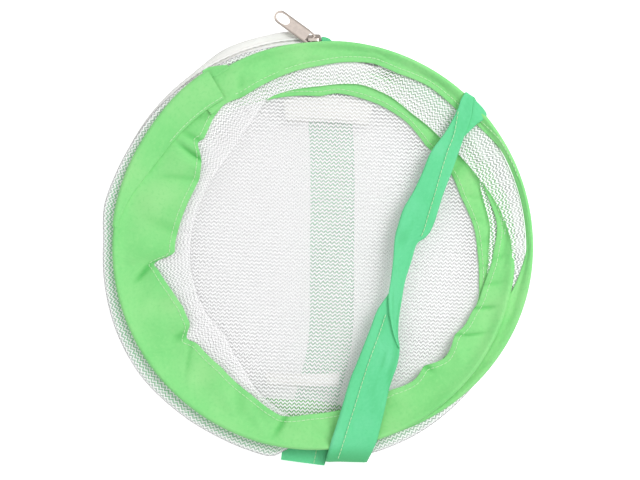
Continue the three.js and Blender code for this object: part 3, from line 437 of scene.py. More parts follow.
class NodePen:
    """Adds nodes to one tree and links them as they are written."""

    def __init__(self, tree):
        self.tree = tree

    def node(self, kind, **settings):
        """A new node of a kind, with its own settings."""
        made = self.tree.nodes.new(kind)
        for name, value in settings.items():
            setattr(made, name, value)
        return made

    def feed(self, socket, value):
        """Link a socket to another, or set it to a plain value."""
        if isinstance(value, bpy.types.NodeSocket):
            self.tree.links.new(value, socket)
        else:
            socket.default_value = value

    def fill(self, node, values):
        """Feed several inputs of a node by their labels."""
        for label, value in values.items():
            self.feed(node.inputs[label], value)

    def math(self, operation, *values):
        """The result of one operation on sockets and plain values."""
        made = self.node("ShaderNodeMath", operation=operation)
        for socket, value in zip(made.inputs, values):
            self.feed(socket, value)
        return made.outputs[0]

    def flip(self, value):
        """One minus a value."""
        return self.math("SUBTRACT", 1.0, value)

    def off_middle(self, value):
        """How far the fraction of a value lies from one half."""
        return self.math("ABSOLUTE", self.math("SUBTRACT", self.math("FRACT", value), 0.5))

    def step(self, value, low, high):
        """A soft step of a value from 0 at low to 1 at high."""
        made = self.node("ShaderNodeMapRange", interpolation_type="SMOOTHSTEP")
        self.fill(made, {"Value": value, "From Min": low, "From Max": high})
        return made.outputs[0]

    def mix(self, share, first, second):
        """A colour a share of the way from first to second."""
        made = self.node("ShaderNodeMix", data_type="RGBA")
        self.fill(made, {"Factor": share, "A": first, "B": second})
        return made.outputs["Result"]

    def noise(self, vector, scale, detail=2.0):
        """Soft noise of a scale."""
        made = self.node("ShaderNodeTexNoise")
        self.fill(made, {"Vector": vector, "Scale": scale, "Detail": detail})
        return made.outputs["Fac"]

    def split(self, vector):
        """The x, y and z of a vector."""
        made = self.node("ShaderNodeSeparateXYZ")
        self.feed(made.inputs[0], vector)
        return made.outputs[0], made.outputs[1], made.outputs[2]

    def cloth(self):
        """The piece's own cloth coordinates."""
        return self.node("ShaderNodeUVMap", uv_map="cloth").outputs[0]

    def mark(self):
        """The piece's own mark: the painted shade in cloth's creases, or for mesh the painted dark green
        shade in its gaps, and below 0 their closing by more mesh.
        """
        return self.node("ShaderNodeAttribute", attribute_name="mark").outputs["Fac"]

    def group(self, tree, **values):
        """The outputs of a node group, placed with its inputs set."""
        made = self.node("ShaderNodeGroup", node_tree=tree)
        self.fill(made, values)
        return made.outputs

    def bump(self, shader, height, strength, distance):
        """Feed a height to the shader's normal."""
        made = self.node("ShaderNodeBump")
        self.fill(made, {"Strength": strength, "Distance": distance, "Height": height})
        self.feed(shader.inputs["Normal"], made.outputs["Normal"])


def shared_group(name, inputs, outputs, wire):
    """Return the shader node group of a name, wired up the first time it is asked for."""
    known = bpy.data.node_groups.get(name)
    if known:
        return known
    group = bpy.data.node_groups.new(name, "ShaderNodeTree")
    for way, sockets in (("INPUT", inputs), ("OUTPUT", outputs)):
        for label, kind in sockets.items():
            group.interface.new_socket(label, in_out=way, socket_type=kind)
    pen = NodePen(group)
    wire(pen, pen.node("NodeGroupInput").outputs, pen.node("NodeGroupOutput").inputs)
    return group


def tricot_group():
    """Warp knit: zigzag rows of thread with a slanting hole on each limb of the zigzag."""
    inputs = {"Vector": "NodeSocketVector", "Row": "NodeSocketFloat", "Zigzag": "NodeSocketFloat",
              "Hole": "NodeSocketFloat"}
    outputs = {"Hole": "NodeSocketFloat", "Height": "NodeSocketFloat", "Thread": "NodeSocketFloat"}
    return shared_group("tricot_knit", inputs, outputs, wire_tricot)


def wire_tricot(pen, given, result):
    """Work out the knit's holes, its height and where its thread is thick."""
    wander = pen.noise(given["Vector"], KNIT_WANDER_SCALE)
    along, across, _ = pen.split(given["Vector"])
    drift = pen.math("MULTIPLY", pen.math("SUBTRACT", wander, 0.5), KNIT_WANDER)
    turns = pen.math("DIVIDE", pen.math("ADD", along, drift), given["Zigzag"])
    rows = pen.math("DIVIDE", pen.math("ADD", across, drift), given["Row"])
    slope = pen.math("MULTIPLY", pen.off_middle(turns), ZIGZAG_SLOPE)
    middle = pen.off_middle(pen.math("ADD", rows, slope))
    core = pen.math("MULTIPLY", given["Hole"], SLIT_CORE)
    slit = pen.flip(pen.step(middle, core, given["Hole"]))
    limb = pen.off_middle(pen.math("MULTIPLY", turns, 2.0))
    open_limb = pen.flip(pen.step(limb, *LIMB_END))
    pen.feed(result["Hole"], pen.math("MULTIPLY", slit, open_limb))
    pen.feed(result["Height"], pen.step(middle, *KNIT_RIDGE))
    pen.feed(result["Thread"], pen.step(middle, *THICK_THREAD))


def weave_group():
    """Plain weave: crossing threads, slub flecks, and broad random patches of painted light and shade."""
    inputs = {"Vector": "NodeSocketVector", "Color": "NodeSocketColor", "Light": "NodeSocketColor",
              "Dark": "NodeSocketColor", "Thread": "NodeSocketFloat"}
    outputs = {"Color": "NodeSocketColor", "Height": "NodeSocketFloat", "Roughness": "NodeSocketFloat"}
    return shared_group("plain_weave", inputs, outputs, wire_weave)


def wire_weave(pen, given, result):
    """Work out the cloth's colour, its height and its roughness."""

    def wave(way):
        """Height of the threads that lie across one way of the cloth."""
        return pen.math("SINE", pen.math("DIVIDE", pen.math("MULTIPLY", way, math.tau), given["Thread"]))

    along, across, _ = pen.split(given["Vector"])
    crossing = pen.math("MULTIPLY", wave(along), wave(across))
    # Broad random patches of painted light and shade, standing in for the soft folds of the cloth
    light_and_shade_patches = pen.noise(given["Vector"], LIGHT_PATCH_SCALE, detail=3.0)
    slub = pen.noise(given["Vector"], SLUB_SCALE)
    lit = pen.mix(pen.step(light_and_shade_patches, *PAINTED_LIGHT_PATCH), given["Color"], given["Light"])
    shaded = pen.mix(pen.math("MULTIPLY", pen.step(light_and_shade_patches, *PAINTED_SHADE_PATCH), PAINTED_SHADE_PATCH_SHARE), lit, given["Dark"])
    speck = pen.math("MULTIPLY", pen.step(slub, *SLUB_LIT), SLUB_LIT_SHARE)
    flecked = pen.mix(speck, shaded, given["Light"])
    dip = pen.math("MULTIPLY", pen.step(slub, *SLUB_DARK), SLUB_DARK_SHARE)
    height = pen.math("ADD", pen.math("MULTIPLY", crossing, 0.5), pen.math("MULTIPLY", slub, 0.6))
    pen.feed(result["Color"], pen.mix(dip, flecked, given["Dark"]))
    pen.feed(result["Height"], height)
    pen.feed(result["Roughness"], pen.math("ADD", 0.58, pen.math("MULTIPLY", slub, 0.24)))


def rubbed_group():
    """Fine rubbing marks on plated metal: a colour, a height and a roughness."""
    inputs = {"Vector": "NodeSocketVector", "Color": "NodeSocketColor", "Dull": "NodeSocketColor"}
    outputs = {"Color": "NodeSocketColor", "Height": "NodeSocketFloat", "Roughness": "NodeSocketFloat"}
    return shared_group("rubbed_plate", inputs, outputs, wire_rubbed)


def wire_rubbed(pen, given, result):
    """Work out the plate's worn colour, its marks and its roughness."""
    wear = pen.noise(given["Vector"], WEAR_SCALE)
    pen.feed(result["Color"], pen.mix(pen.step(wear, *WORN), given["Color"], given["Dull"]))
    pen.feed(result["Height"], pen.noise(given["Vector"], RUB_SCALE, detail=4.0))
    pen.feed(result["Roughness"], pen.math("ADD", 0.22, pen.math("MULTIPLY", wear, 0.22)))


def shared_material(name, paint, **details):
    """Return the material of a name, painted the first time it is asked for."""
    known = bpy.data.materials.get(name)
    if known:
        return known
    material = bpy.data.materials.new(name)
    material.use_nodes = True
    tree = material.node_tree
    paint(NodePen(tree), tree.nodes["Principled BSDF"], **details)
    return material


def tint(colour, red, green, blue):
    """Return a colour with each channel scaled."""
    return (min(1.0, colour[0] * red), min(1.0, colour[1] * green), min(1.0, colour[2] * blue), 1.0)


def paint_cloth(pen, shader, colour, sheen, light=(1.3, 1.05, 1.18), dark=(0.7, 0.9, 0.78)):
    """Woven polyester with a soft sheen, on the piece's own cloth coordinates, with painted shade where it is
    creased.
    """
    weave = pen.group(weave_group(), Vector=pen.cloth(), Color=tuple(colour), Light=tint(colour, *light),
                      Dark=tint(colour, *dark), Thread=WEAVE_THREAD)
    # Base colour with painted shade in the creases, by the piece's mark
    pen.fill(shader, {
        "Base Color": pen.mix(pen.mark(), weave["Color"], tint(colour, *CREASE_SHADE_TINT)),
        "Roughness": weave["Roughness"],
        "Sheen Weight": sheen,
        "Specular IOR Level": 0.3,
    })
    pen.bump(shader, weave["Height"], strength=0.35, distance=0.0002)


def paint_mesh(pen, shader, hole, scale=1.0):
    """White tricot mesh whose holes let the piece behind show through, show painted dark green shade where
    the mesh lies doubled, or are closed by more mesh.
    """
    knit = pen.group(tricot_group(), Vector=pen.cloth(), Row=sizes().knit_row * scale,
                     Zigzag=sizes().knit_zigzag * scale, Hole=hole)
    gap_shade_and_closure = pen.mark()
    white = tuple(colours().mesh)
    thread = pen.mix(knit["Thread"], tint(white, *THIN_THREAD_TINT), white)
    # Painted shade: gaps with a positive mark take the dark green gap colour, and a negative mark closes them
    # with more mesh
    soft_gap = pen.math("MULTIPLY", pen.flip(knit["Thread"]), GAP_SHADE_STRENGTH)
    gap_shade_share = pen.math("MULTIPLY", soft_gap, pen.math("MAXIMUM", gap_shade_and_closure, 0.0))
    covered = pen.math("MULTIPLY", knit["Hole"], pen.math("ABSOLUTE", gap_shade_and_closure))
    pen.fill(shader, {
        "Base Color": pen.mix(gap_shade_share, thread, tuple(colours().gap)),
        "Alpha": pen.flip(pen.math("SUBTRACT", knit["Hole"], covered)),
        "Roughness": 0.75,
        "Specular IOR Level": 0.2,
    })
    pen.bump(shader, knit["Height"], strength=0.35, distance=0.0003)


def paint_thread(pen, shader, colour):
    """Twisted sewing thread."""
    twist = pen.noise(pen.node("ShaderNodeTexCoord").outputs["Object"], TWIST_SCALE)
    pen.fill(shader, {
        "Base Color": pen.mix(twist, tint(colour, *TWIST_TINT), tuple(colour)),
        "Roughness": 0.6,
    })
    pen.bump(shader, twist, strength=0.4, distance=0.0001)


def paint_metal(pen, shader, colour, hollow=None):
    """Plated or drawn metal with rubbing marks, painted shade on its upright edges, and perhaps painted shade
    in a hollow that gets less light.
    """
    surface = pen.node("ShaderNodeTexCoord").outputs
    plate = pen.group(rubbed_group(), Vector=surface["Object"], Color=tuple(colour),
                      Dull=tint(colour, *DULL_TINT))
    # Painted shade: faces that stand upright, such as bevels and sides, darken, as does the hollow's mask
    upright = pen.math("ABSOLUTE", pen.split(surface["Normal"])[2])
    edge = pen.flip(pen.step(upright, *UPRIGHT_FACE))
    shade = pen.math("MAXIMUM", edge, hollow(pen, surface["Object"])) if hollow else edge
    pen.fill(shader, {
        "Base Color": pen.mix(shade, plate["Color"], tint(colour, *EDGE_SHADE_TINT)),
        "Roughness": plate["Roughness"],
        "Metallic": 1.0,
    })
    pen.bump(shader, plate["Height"], strength=0.08, distance=0.0001)


def pull_rim(pen, place):
    """Mask of painted shade inside each long edge of the pull, measured from the pull's hinge."""
    hinge = JOINTS["pull_flip"]
    across = pen.node("ShaderNodeVectorMath", operation="DOT_PRODUCT")
    pen.feed(across.inputs[0], place)
    pen.feed(across.inputs[1], tuple(hinge["axis"]))
    middle = Vector(hinge["pos_m"]).dot(Vector(hinge["axis"]))
    offset = pen.math("ABSOLUTE", pen.math("SUBTRACT", across.outputs["Value"], middle))
    return pen.math("MULTIPLY", pen.step(offset, *PULL_RIM), PULL_RIM_SHADE)


def slider_floor(pen, place):
    """Mask of painted shade on the slider's plate under its bridge."""
    raised = pen.step(pen.split(place)[2], *SLIDER_FLOOR)
    return pen.math("MULTIPLY", pen.flip(raised), SLIDER_FLOOR_SHADE)


def paint_nylon(pen, shader, colour):
    """Moulded nylon with a faint mottle."""
    mottle = pen.noise(pen.node("ShaderNodeTexCoord").outputs["Object"], MOTTLE_SCALE)
    pen.fill(shader, {
        "Base Color": pen.mix(mottle, tint(colour, *MOTTLE_TINT), tuple(colour)),
        "Roughness": pen.math("ADD", 0.35, pen.math("MULTIPLY", mottle, 0.2)),
    })
    pen.bump(shader, mottle, strength=0.15, distance=0.0001)


def casing_cloth():
    """Green cloth of the casings."""
    return shared_material("casing_cloth", paint_cloth, colour=colours().casing, sheen=0.15)


def strap_cloth():
    """Bluish green cloth of the straps."""
    return shared_material("strap_cloth", paint_cloth, colour=colours().strap, sheen=0.2)


def tape_cloth():
    """Off-white woven zip tape."""
    return shared_material("tape_cloth", paint_cloth, colour=colours().tape, sheen=0.1,
                           light=(1.06, 1.06, 1.06), dark=(0.93, 0.93, 0.92))


def panel_tricot():
    """White mesh of the front panel."""
    return shared_material("panel_tricot", paint_mesh, hole=0.27)


def back_tricot():
    """White mesh of the back panel, finer and stretched wider open."""
    return shared_material("back_tricot", paint_mesh, hole=0.36, scale=0.2)


def wall_tricot():
    """White mesh of the wall."""
    return shared_material("wall_tricot", paint_mesh, hole=0.28)


def pale_thread():
    """Pale green thread of the seams."""
    return shared_material("pale_thread", paint_thread, colour=colours().thread)


def spring_steel():
    """Drawn steel of the hoop wires and the coil spring."""
    return shared_material("spring_steel", paint_metal, colour=colours().steel)


def zip_nylon():
    """Off-white nylon of the zip rows and the spring's caps."""
    return shared_material("zip_nylon", paint_nylon, colour=colours().nylon)


# Laying out sewn pieces

# Lift of a thread off its cloth, and radius at which the mesh of a round panel starts, in millimetres
THREAD_LIFT = 0.05
POLE_RADIUS = 0.2

# Straps: the share on either side that gives their direction, their edges and the steps of their seams
RIBBON_REACH = 0.01
RIBBON_EDGE = 0.25
RIBBON_ROUNDING = 0.25
RIBBON_SEAM_STEPS = 160


class Skin:
    """Points, faces, cloth coordinates and rise of one sewn piece while it is laid out, in millimetres."""

    # One stitch: shares of its length, with its lift and its girth there in radii of the thread
    STITCH = ((0.0, -0.6, 0.6), (0.25, 0.4, 1.0), (0.75, 0.4, 1.0), (1.0, -0.6, 0.6))
    STITCH_SIDES = 5

    def __init__(self):
        self.points = []
        self.cloth = []
        self.rise = []
        self.mark = []
        self.faces = []
        self.finish = []

    def grid(self, rows, finish=0):
        """Add a sheet from rows of (point, cloth coordinates, rise), each with a mark if it has one."""
        first = len(self.points)
        width = len(rows[0])
        for row in rows:
            for point, cloth, rise, *mark in row:
                self.points.append(point)
                self.cloth.append(cloth)
                self.rise.append(rise)
                self.mark.append(mark[0] if mark else 0.0)
        for row in range(len(rows) - 1):
            for column in range(width - 1):
                corner = first + row * width + column
                self.faces.append((corner, corner + 1, corner + width + 1, corner + width))
                self.finish.append(finish)

    def tube(self, path, radii, sides, rise, finish=0):
        """Add a tube along a path of points, with a radius for each and closed ends."""
        first = len(self.points)
        last = len(path) - 1
        run = 0.0
        for index, point in enumerate(path):
            ahead = (path[min(index + 1, last)] - path[max(index - 1, 0)]).normalized()
            side = ahead.cross(Vector((0, 0, 1))).normalized()
            top = side.cross(ahead)
            run += (point - path[max(index - 1, 0)]).length
            for corner in range(sides):
                turn = math.tau * corner / sides
                offset = side * math.cos(turn) + top * math.sin(turn)
                self.points.append(point + offset * radii[index])
                self.cloth.append((run, radii[index] * turn))
                self.rise.append(rise[index])
                self.mark.append(0.0)
        for index in range(last):
            here = first + index * sides
            ahead = here + sides
            for corner in range(sides):
                beside = (corner + 1) % sides
                self.faces.append((here + corner, here + beside, ahead + beside, ahead + corner))
                self.finish.append(finish)
        self.faces.append(tuple(range(first, first + sides)))
        self.faces.append(tuple(range(first + last * sides, first + (last + 1) * sides)))
        self.finish.extend([finish, finish])

    def seam(self, line, finish=1):
        """Add a row of stitches along a line of (point, rise), each one a short bowed length of thread."""
        length = sizes().stitch_length / MM
        gap = sizes().stitch_gap / MM
        radius = sizes().thread_radius / MM
        girths = [radius * girth for _, _, girth in self.STITCH]
        runs = [0.0]
        for (before, _), (after, _) in zip(line, line[1:]):
            runs.append(runs[-1] + (after - before).length)

        def along(run):
            """Point and rise at a run along the line."""
            for index in range(len(runs) - 1):
                if run <= runs[index + 1]:
                    share = (run - runs[index]) / max(runs[index + 1] - runs[index], LEAST_SPAN)
                    (before, low), (after, high) = line[index], line[index + 1]
                    return before.lerp(after, share), lerp(low, high, share)
            return line[-1]

        start = 0.0
        while start + length < runs[-1]:
            path = []
            rise = []
            for share, lift, _ in self.STITCH:
                point, level = along(start + length * share)
                path.append(point + Vector((0, 0, radius * lift)))
                rise.append(level)
            self.tube(path, girths, self.STITCH_SIDES, rise, finish)
            start += length + gap

    def make(self, name, materials):
        """Turn the layout into an object at the origin, in metres."""
        mesh = bpy.data.meshes.new(name)
        mesh.from_pydata([point * MM for point in self.points], [], self.faces)
        layer = mesh.uv_layers.new(name="cloth")
        for loop in mesh.loops:
            along, across = self.cloth[loop.vertex_index]
            layer.data[loop.index].uv = (along * MM, across * MM)
        mesh.attributes.new("mark", "FLOAT", "POINT").data.foreach_set("value", self.mark)
        for material in materials:
            mesh.materials.append(material)
        mesh.polygons.foreach_set("material_index", self.finish)
        mesh.polygons.foreach_set("use_smooth", [True] * len(mesh.polygons))
        mesh.validate()
        piece = bpy.data.objects.new(name, mesh)
        bpy.context.scene.collection.objects.link(piece)
        face_outwards(piece)
        return piece

    def blend(self, piece):
        """Set each point for a moment to its own share of the front end's travel, then put it back where it
        lies at rest.
        """
        flat = [vertex.co.copy() for vertex in piece.data.vertices]
        for vertex, share in zip(piece.data.vertices, self.rise):
            level = 0.5 - math.sin(math.asin(1 - 2 * min(max(share, 0.0), 1.0)) / 3)
            vertex.co = (0, 0, level)
        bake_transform(piece)
        for vertex, place in zip(piece.data.vertices, flat):
            vertex.co = place


def select_only(piece):
    """Deselect everything and make one object active."""
    bpy.ops.object.select_all(action="DESELECT")
    piece.select_set(True)
    bpy.context.view_layer.objects.active = piece


def face_outwards(piece):
    """Make the faces of each part of a mesh point the same way, outwards."""
    select_only(piece)
    bpy.ops.object.mode_set(mode="EDIT")
    bpy.ops.mesh.select_all(action="SELECT")
    bpy.ops.mesh.normals_make_consistent(inside=False)
    bpy.ops.object.mode_set(mode="OBJECT")


class Casing:
    """A strip of cloth folded over a wire: where its wire, its inner edge and its two layers lie."""

    SECTION_STEPS = 12
    SECTION_CROWDING = 1.4
    ROUND_STEPS = 8
    LEAST_WIDTH = 2.5
    HEM_ROW = 0.35
    HEM_START = 0.98
    SEAM_STEP = 0.5
    LEAST_SEAM_SHARE = 0.05

    # Creases: the shares of their run where they start and are full, their reach in spreads, and their
    # painted shade
    CREASE_START = -0.3
    CREASE_FULL = 0.5
    CREASE_REACH = 3
    CREASE_SHADE = 0.55
    CREASE_CLEAR = 0.12

    # Folds: the broad and the fine ripples, and the groove beside the tunnel in radii of the tunnel
    FOLD_SPAN = 1.1
    BROAD_RIPPLE = 5.0
    FINE_RIPPLE = 15.0
    FINE_SHARE = 0.45
    FINE_SLANT = 14
    FINE_SEED = 3
    GROOVE_REACH = 2.0
    GROOVE_SPREAD = 0.4

    def __init__(self, centre, wire_radius, edge, wire_height, edge_height, rise, tunnel, seed, wobble,
                 creases=(), groove=0.1, spread=1.15):
        self.centre = centre
        self.wire_radius = wire_radius
        self.edge = edge
        self.wire_height = wire_height
        self.edge_height = edge_height
        self.rise_at_wire = rise
        self.tunnel = tunnel
        self.layer = sizes().layer_gap / MM
        self.creases = creases
        self.seed = seed
        self.wobble = wobble
        self.groove = groove
        self.spread = spread

    def width(self, angle):
        """Distance from the wire to the inner edge."""
        return max(self.LEAST_WIDTH, self.wire_radius(angle) - self.edge(angle))

    def crease(self, angle, share):
        """Height that the creases take away at an angle and a share of the width."""
        depth = 0.0
        for edge_angle, edge_share, far_angle, far_share, fall, spread in self.creases:
            along = (share - far_share) / (edge_share - far_share)
            if along < self.CREASE_START:
                continue
            line = lerp(far_angle, edge_angle, along)
            apart = (angle - line + 180) % 360 - 180
            if abs(apart) < self.CREASE_REACH * spread:
                depth += fall * bell(apart, spread) * smooth(along, self.CREASE_START, self.CREASE_FULL)
        return depth

    def middle(self, angle, share):
        """Height of the middle of the two layers."""
        sag = 1 - (1 - share) ** 2
        height = lerp(self.wire_height(angle), self.edge_height(angle), sag)
        swing = self.wobble * math.sin(math.pi * min(1.0, share * self.FOLD_SPAN))
        broad = ripple(angle, share, self.BROAD_RIPPLE, self.seed)
        slanted = angle + self.FINE_SLANT * share
        fine = ripple(slanted, share, self.FINE_RIPPLE, self.seed + self.FINE_SEED)
        reach = share * self.width(angle) / self.tunnel(angle)
        groove = self.groove * bell(reach - self.GROOVE_REACH, self.GROOVE_SPREAD)
        return height + swing * (broad + self.FINE_SHARE * fine) - groove - self.crease(angle, share)

    def half_thickness(self, angle, share):
        """Half the distance between the layers: wide at the wire, and closing at the hem."""
        tunnel = self.tunnel(angle)
        bulge = (tunnel - self.layer) * bell(share * self.width(angle), self.spread * tunnel)
        return self.layer + bulge - 0.5 * self.layer * smooth(share, self.HEM_START, 1.0)

    def rise(self, angle, share):
        """Share of the front end's travel, a little more towards the inner edge."""
        tilt = CASING_TILT * share * self.width(angle) / TRAVEL
        return min(1.0, self.rise_at_wire(angle) + tilt)

    def place(self, angle, share, side):
        """A point on the upper layer, side 1, or the lower layer, side -1."""
        radius = lerp(self.wire_radius(angle), self.wire_radius(angle) - self.width(angle), share)
        height = self.middle(angle, share) + side * self.half_thickness(angle, share)
        return polar(self.centre, angle, radius, height)

    def section(self, angle):
        """One turn of the cloth: out along the lower layer, round the wire and back along the upper."""
        hem = 1 - self.HEM_ROW / self.width(angle)
        shares = [1.0, hem]
        for step in range(self.SECTION_STEPS - 1, 0, -1):
            shares.append(hem * (step / self.SECTION_STEPS) ** self.SECTION_CROWDING)
        spots = [(self.place(angle, share, -1), self.rise(angle, share), 0.0) for share in shares]
        for step in range(self.ROUND_STEPS + 1):
            turn = math.pi * (step / self.ROUND_STEPS - 0.5)
            radius = self.wire_radius(angle) + self.tunnel(angle) * math.cos(turn)
            height = self.middle(angle, 0.0) + self.tunnel(angle) * math.sin(turn)
            spots.append((polar(self.centre, angle, radius, height), self.rise_at_wire(angle), 0.0))
        for share in reversed(shares):
            spots.append((self.place(angle, share, 1), self.rise(angle, share), self.shade(angle, share)))
        return spots

    def shade(self, angle, share):
        """Painted shade of the cloth in its creases, from 0 to 1."""
        return min(1.0, max(0.0, self.CREASE_SHADE * self.crease(angle, share) - self.CREASE_CLEAR))

    def rows(self, start, end, step):
        """Rows of the whole casing from one angle to another, joined along the inner edge."""
        count = max(2, round(abs(end - start) / step))
        rows = []
        for index in range(count + 1):
            angle = lerp(start, end, index / count)
            spots = self.section(angle)
            spots.append(spots[0])
            along = math.radians(angle) * self.wire_radius(angle)
            run = 0.0
            row = []
            for place, (point, rise, shade) in enumerate(spots):
                run += (point - spots[max(place - 1, 0)][0]).length
                row.append((point, (along, run), rise, shade))
            rows.append(row)
        return rows

    def seam_line(self, start, end, setback):
        """A line on the upper layer, a set distance from the inner edge."""
        count = max(2, round(abs(end - start) / self.SEAM_STEP))
        line = []
        for index in range(count + 1):
            angle = lerp(start, end, index / count)
            share = max(self.LEAST_SEAM_SHARE, 1 - setback / self.width(angle))
            point = self.place(angle, share, 1) + Vector((0, 0, THREAD_LIFT))
            line.append((point, self.rise(angle, share)))
        return line


def sew_casing(name, casing, run, seam, step=0.75, flap=None):
    """Lay out a casing with its seam, and perhaps a flap, and return its skin, its object and its cut."""
    skin = Skin()
    rows = casing.rows(*run, step)
    skin.grid(rows)
    if flap:
        skin.grid(flap)
    skin.seam(casing.seam_line(*seam))
    piece = skin.make(name, [casing_cloth(), pale_thread()])
    width = sum(row[-1][1][1] for row in rows) / len(rows)
    length = abs(rows[-1][0][1][0] - rows[0][0][1][0])
    return skin, piece, (width * MM, length * MM)


def coil_height(angle):
    """Height of the coil's wire at its running angle."""
    return COIL_FOOT_HEIGHT + COIL_PITCH * (angle - COIL_FOOT_ANGLE) / 360


def coil_rise(angle):
    """Share of the front end's travel that the coil's wire takes at its running angle."""
    share = (angle - COIL_FOOT_ANGLE) / (COIL_HEAD_ANGLE - COIL_FOOT_ANGLE)
    return lerp(COIL_FOOT_RISE, COIL_HEAD_RISE, min(1.0, share))


def ribbon_edges(stations):
    """The left and the right edge points of a strap."""
    return [Vector(left) for left, _ in stations], [Vector(right) for _, right in stations]


def ribbon_rows(stations, thickness, steps, cross_steps, fold=None, rise=0.0, shade=None):
    """Rows of a flat strap through stations of (left, right) points, with rounded edges and both faces."""
    lefts, rights = ribbon_edges(stations)

    def both(share):
        """Sum of the points on both edges."""
        return spline(lefts, share) + spline(rights, share)

    rows = []
    along = 0.0
    before = None
    for index in range(steps + 1):
        share = index / steps
        left = spline(lefts, share)
        right = spline(rights, share)
        ahead = both(share + RIBBON_REACH) - both(share - RIBBON_REACH)
        up = (right - left).normalized().cross(ahead.normalized()).normalized()
        middle = (left + right) / 2
        along += (middle - before).length if before else 0.0
        before = middle
        loop = []
        for side in (1, -1):
            for step in range(cross_steps + 1):
                place = step / cross_steps if side == 1 else 1 - step / cross_steps
                edge = math.sin(math.pi * place) ** RIBBON_ROUNDING
                lift = fold(share, place) if fold else 0.0
                level = side * 0.5 * thickness * lerp(RIBBON_EDGE, 1.0, edge) + lift
                spot = left.lerp(right, place) + up * level
                run = (right - left).length * (place if side == 1 else 2 - place)
                loop.append((spot, (along, run), rise, shade(share, place) if shade else 0.0))
        loop.append(loop[0])
        rows.append(loop)
    return rows


def ribbon_line(stations, thickness, shares, start, end, fold=None):
    """A seam line on a strap's upper face, at given shares of its width."""
    lefts, rights = ribbon_edges(stations)
    line = []
    for index in range(RIBBON_SEAM_STEPS + 1):
        share = lerp(start, end, index / RIBBON_SEAM_STEPS)
        place = spline([Vector((value, 0, 0)) for value in shares], index / RIBBON_SEAM_STEPS).x
        lift = fold(share, place) if fold else 0.0
        spot = spline(lefts, share).lerp(spline(rights, share), place)
        line.append((spot + Vector((0, 0, 0.5 * thickness + lift + THREAD_LIFT)), 0.0))
    return line


def disc_rows(centre, radius, height, swell, turn, rings=44, sectors=150):
    """Rows of a flat round panel of mesh with soft wrinkles, its knit turned by some degrees."""
    rows = []
    lean = math.radians(turn)
    for ring in range(rings + 1):
        row = []
        for sector in range(sectors + 1):
            angle = 360 * sector / sectors
            point = polar(centre, angle, max(POLE_RADIUS, radius * ring / rings), height)
            point.z += swell(point.x, point.y)
            cloth = (point.x * math.cos(lean) + point.y * math.sin(lean),
                     point.y * math.cos(lean) - point.x * math.sin(lean))
            row.append((point, cloth, 0.0))
        rows.append(row)
    return rows


def dress_node(name, material):
    """Give a CAD node that stays a better finish, and return it."""
    node = frame["nodes"][name]
    node.data.materials.clear()
    node.data.materials.append(material)
    return node


# Operators, one for each group of pieces


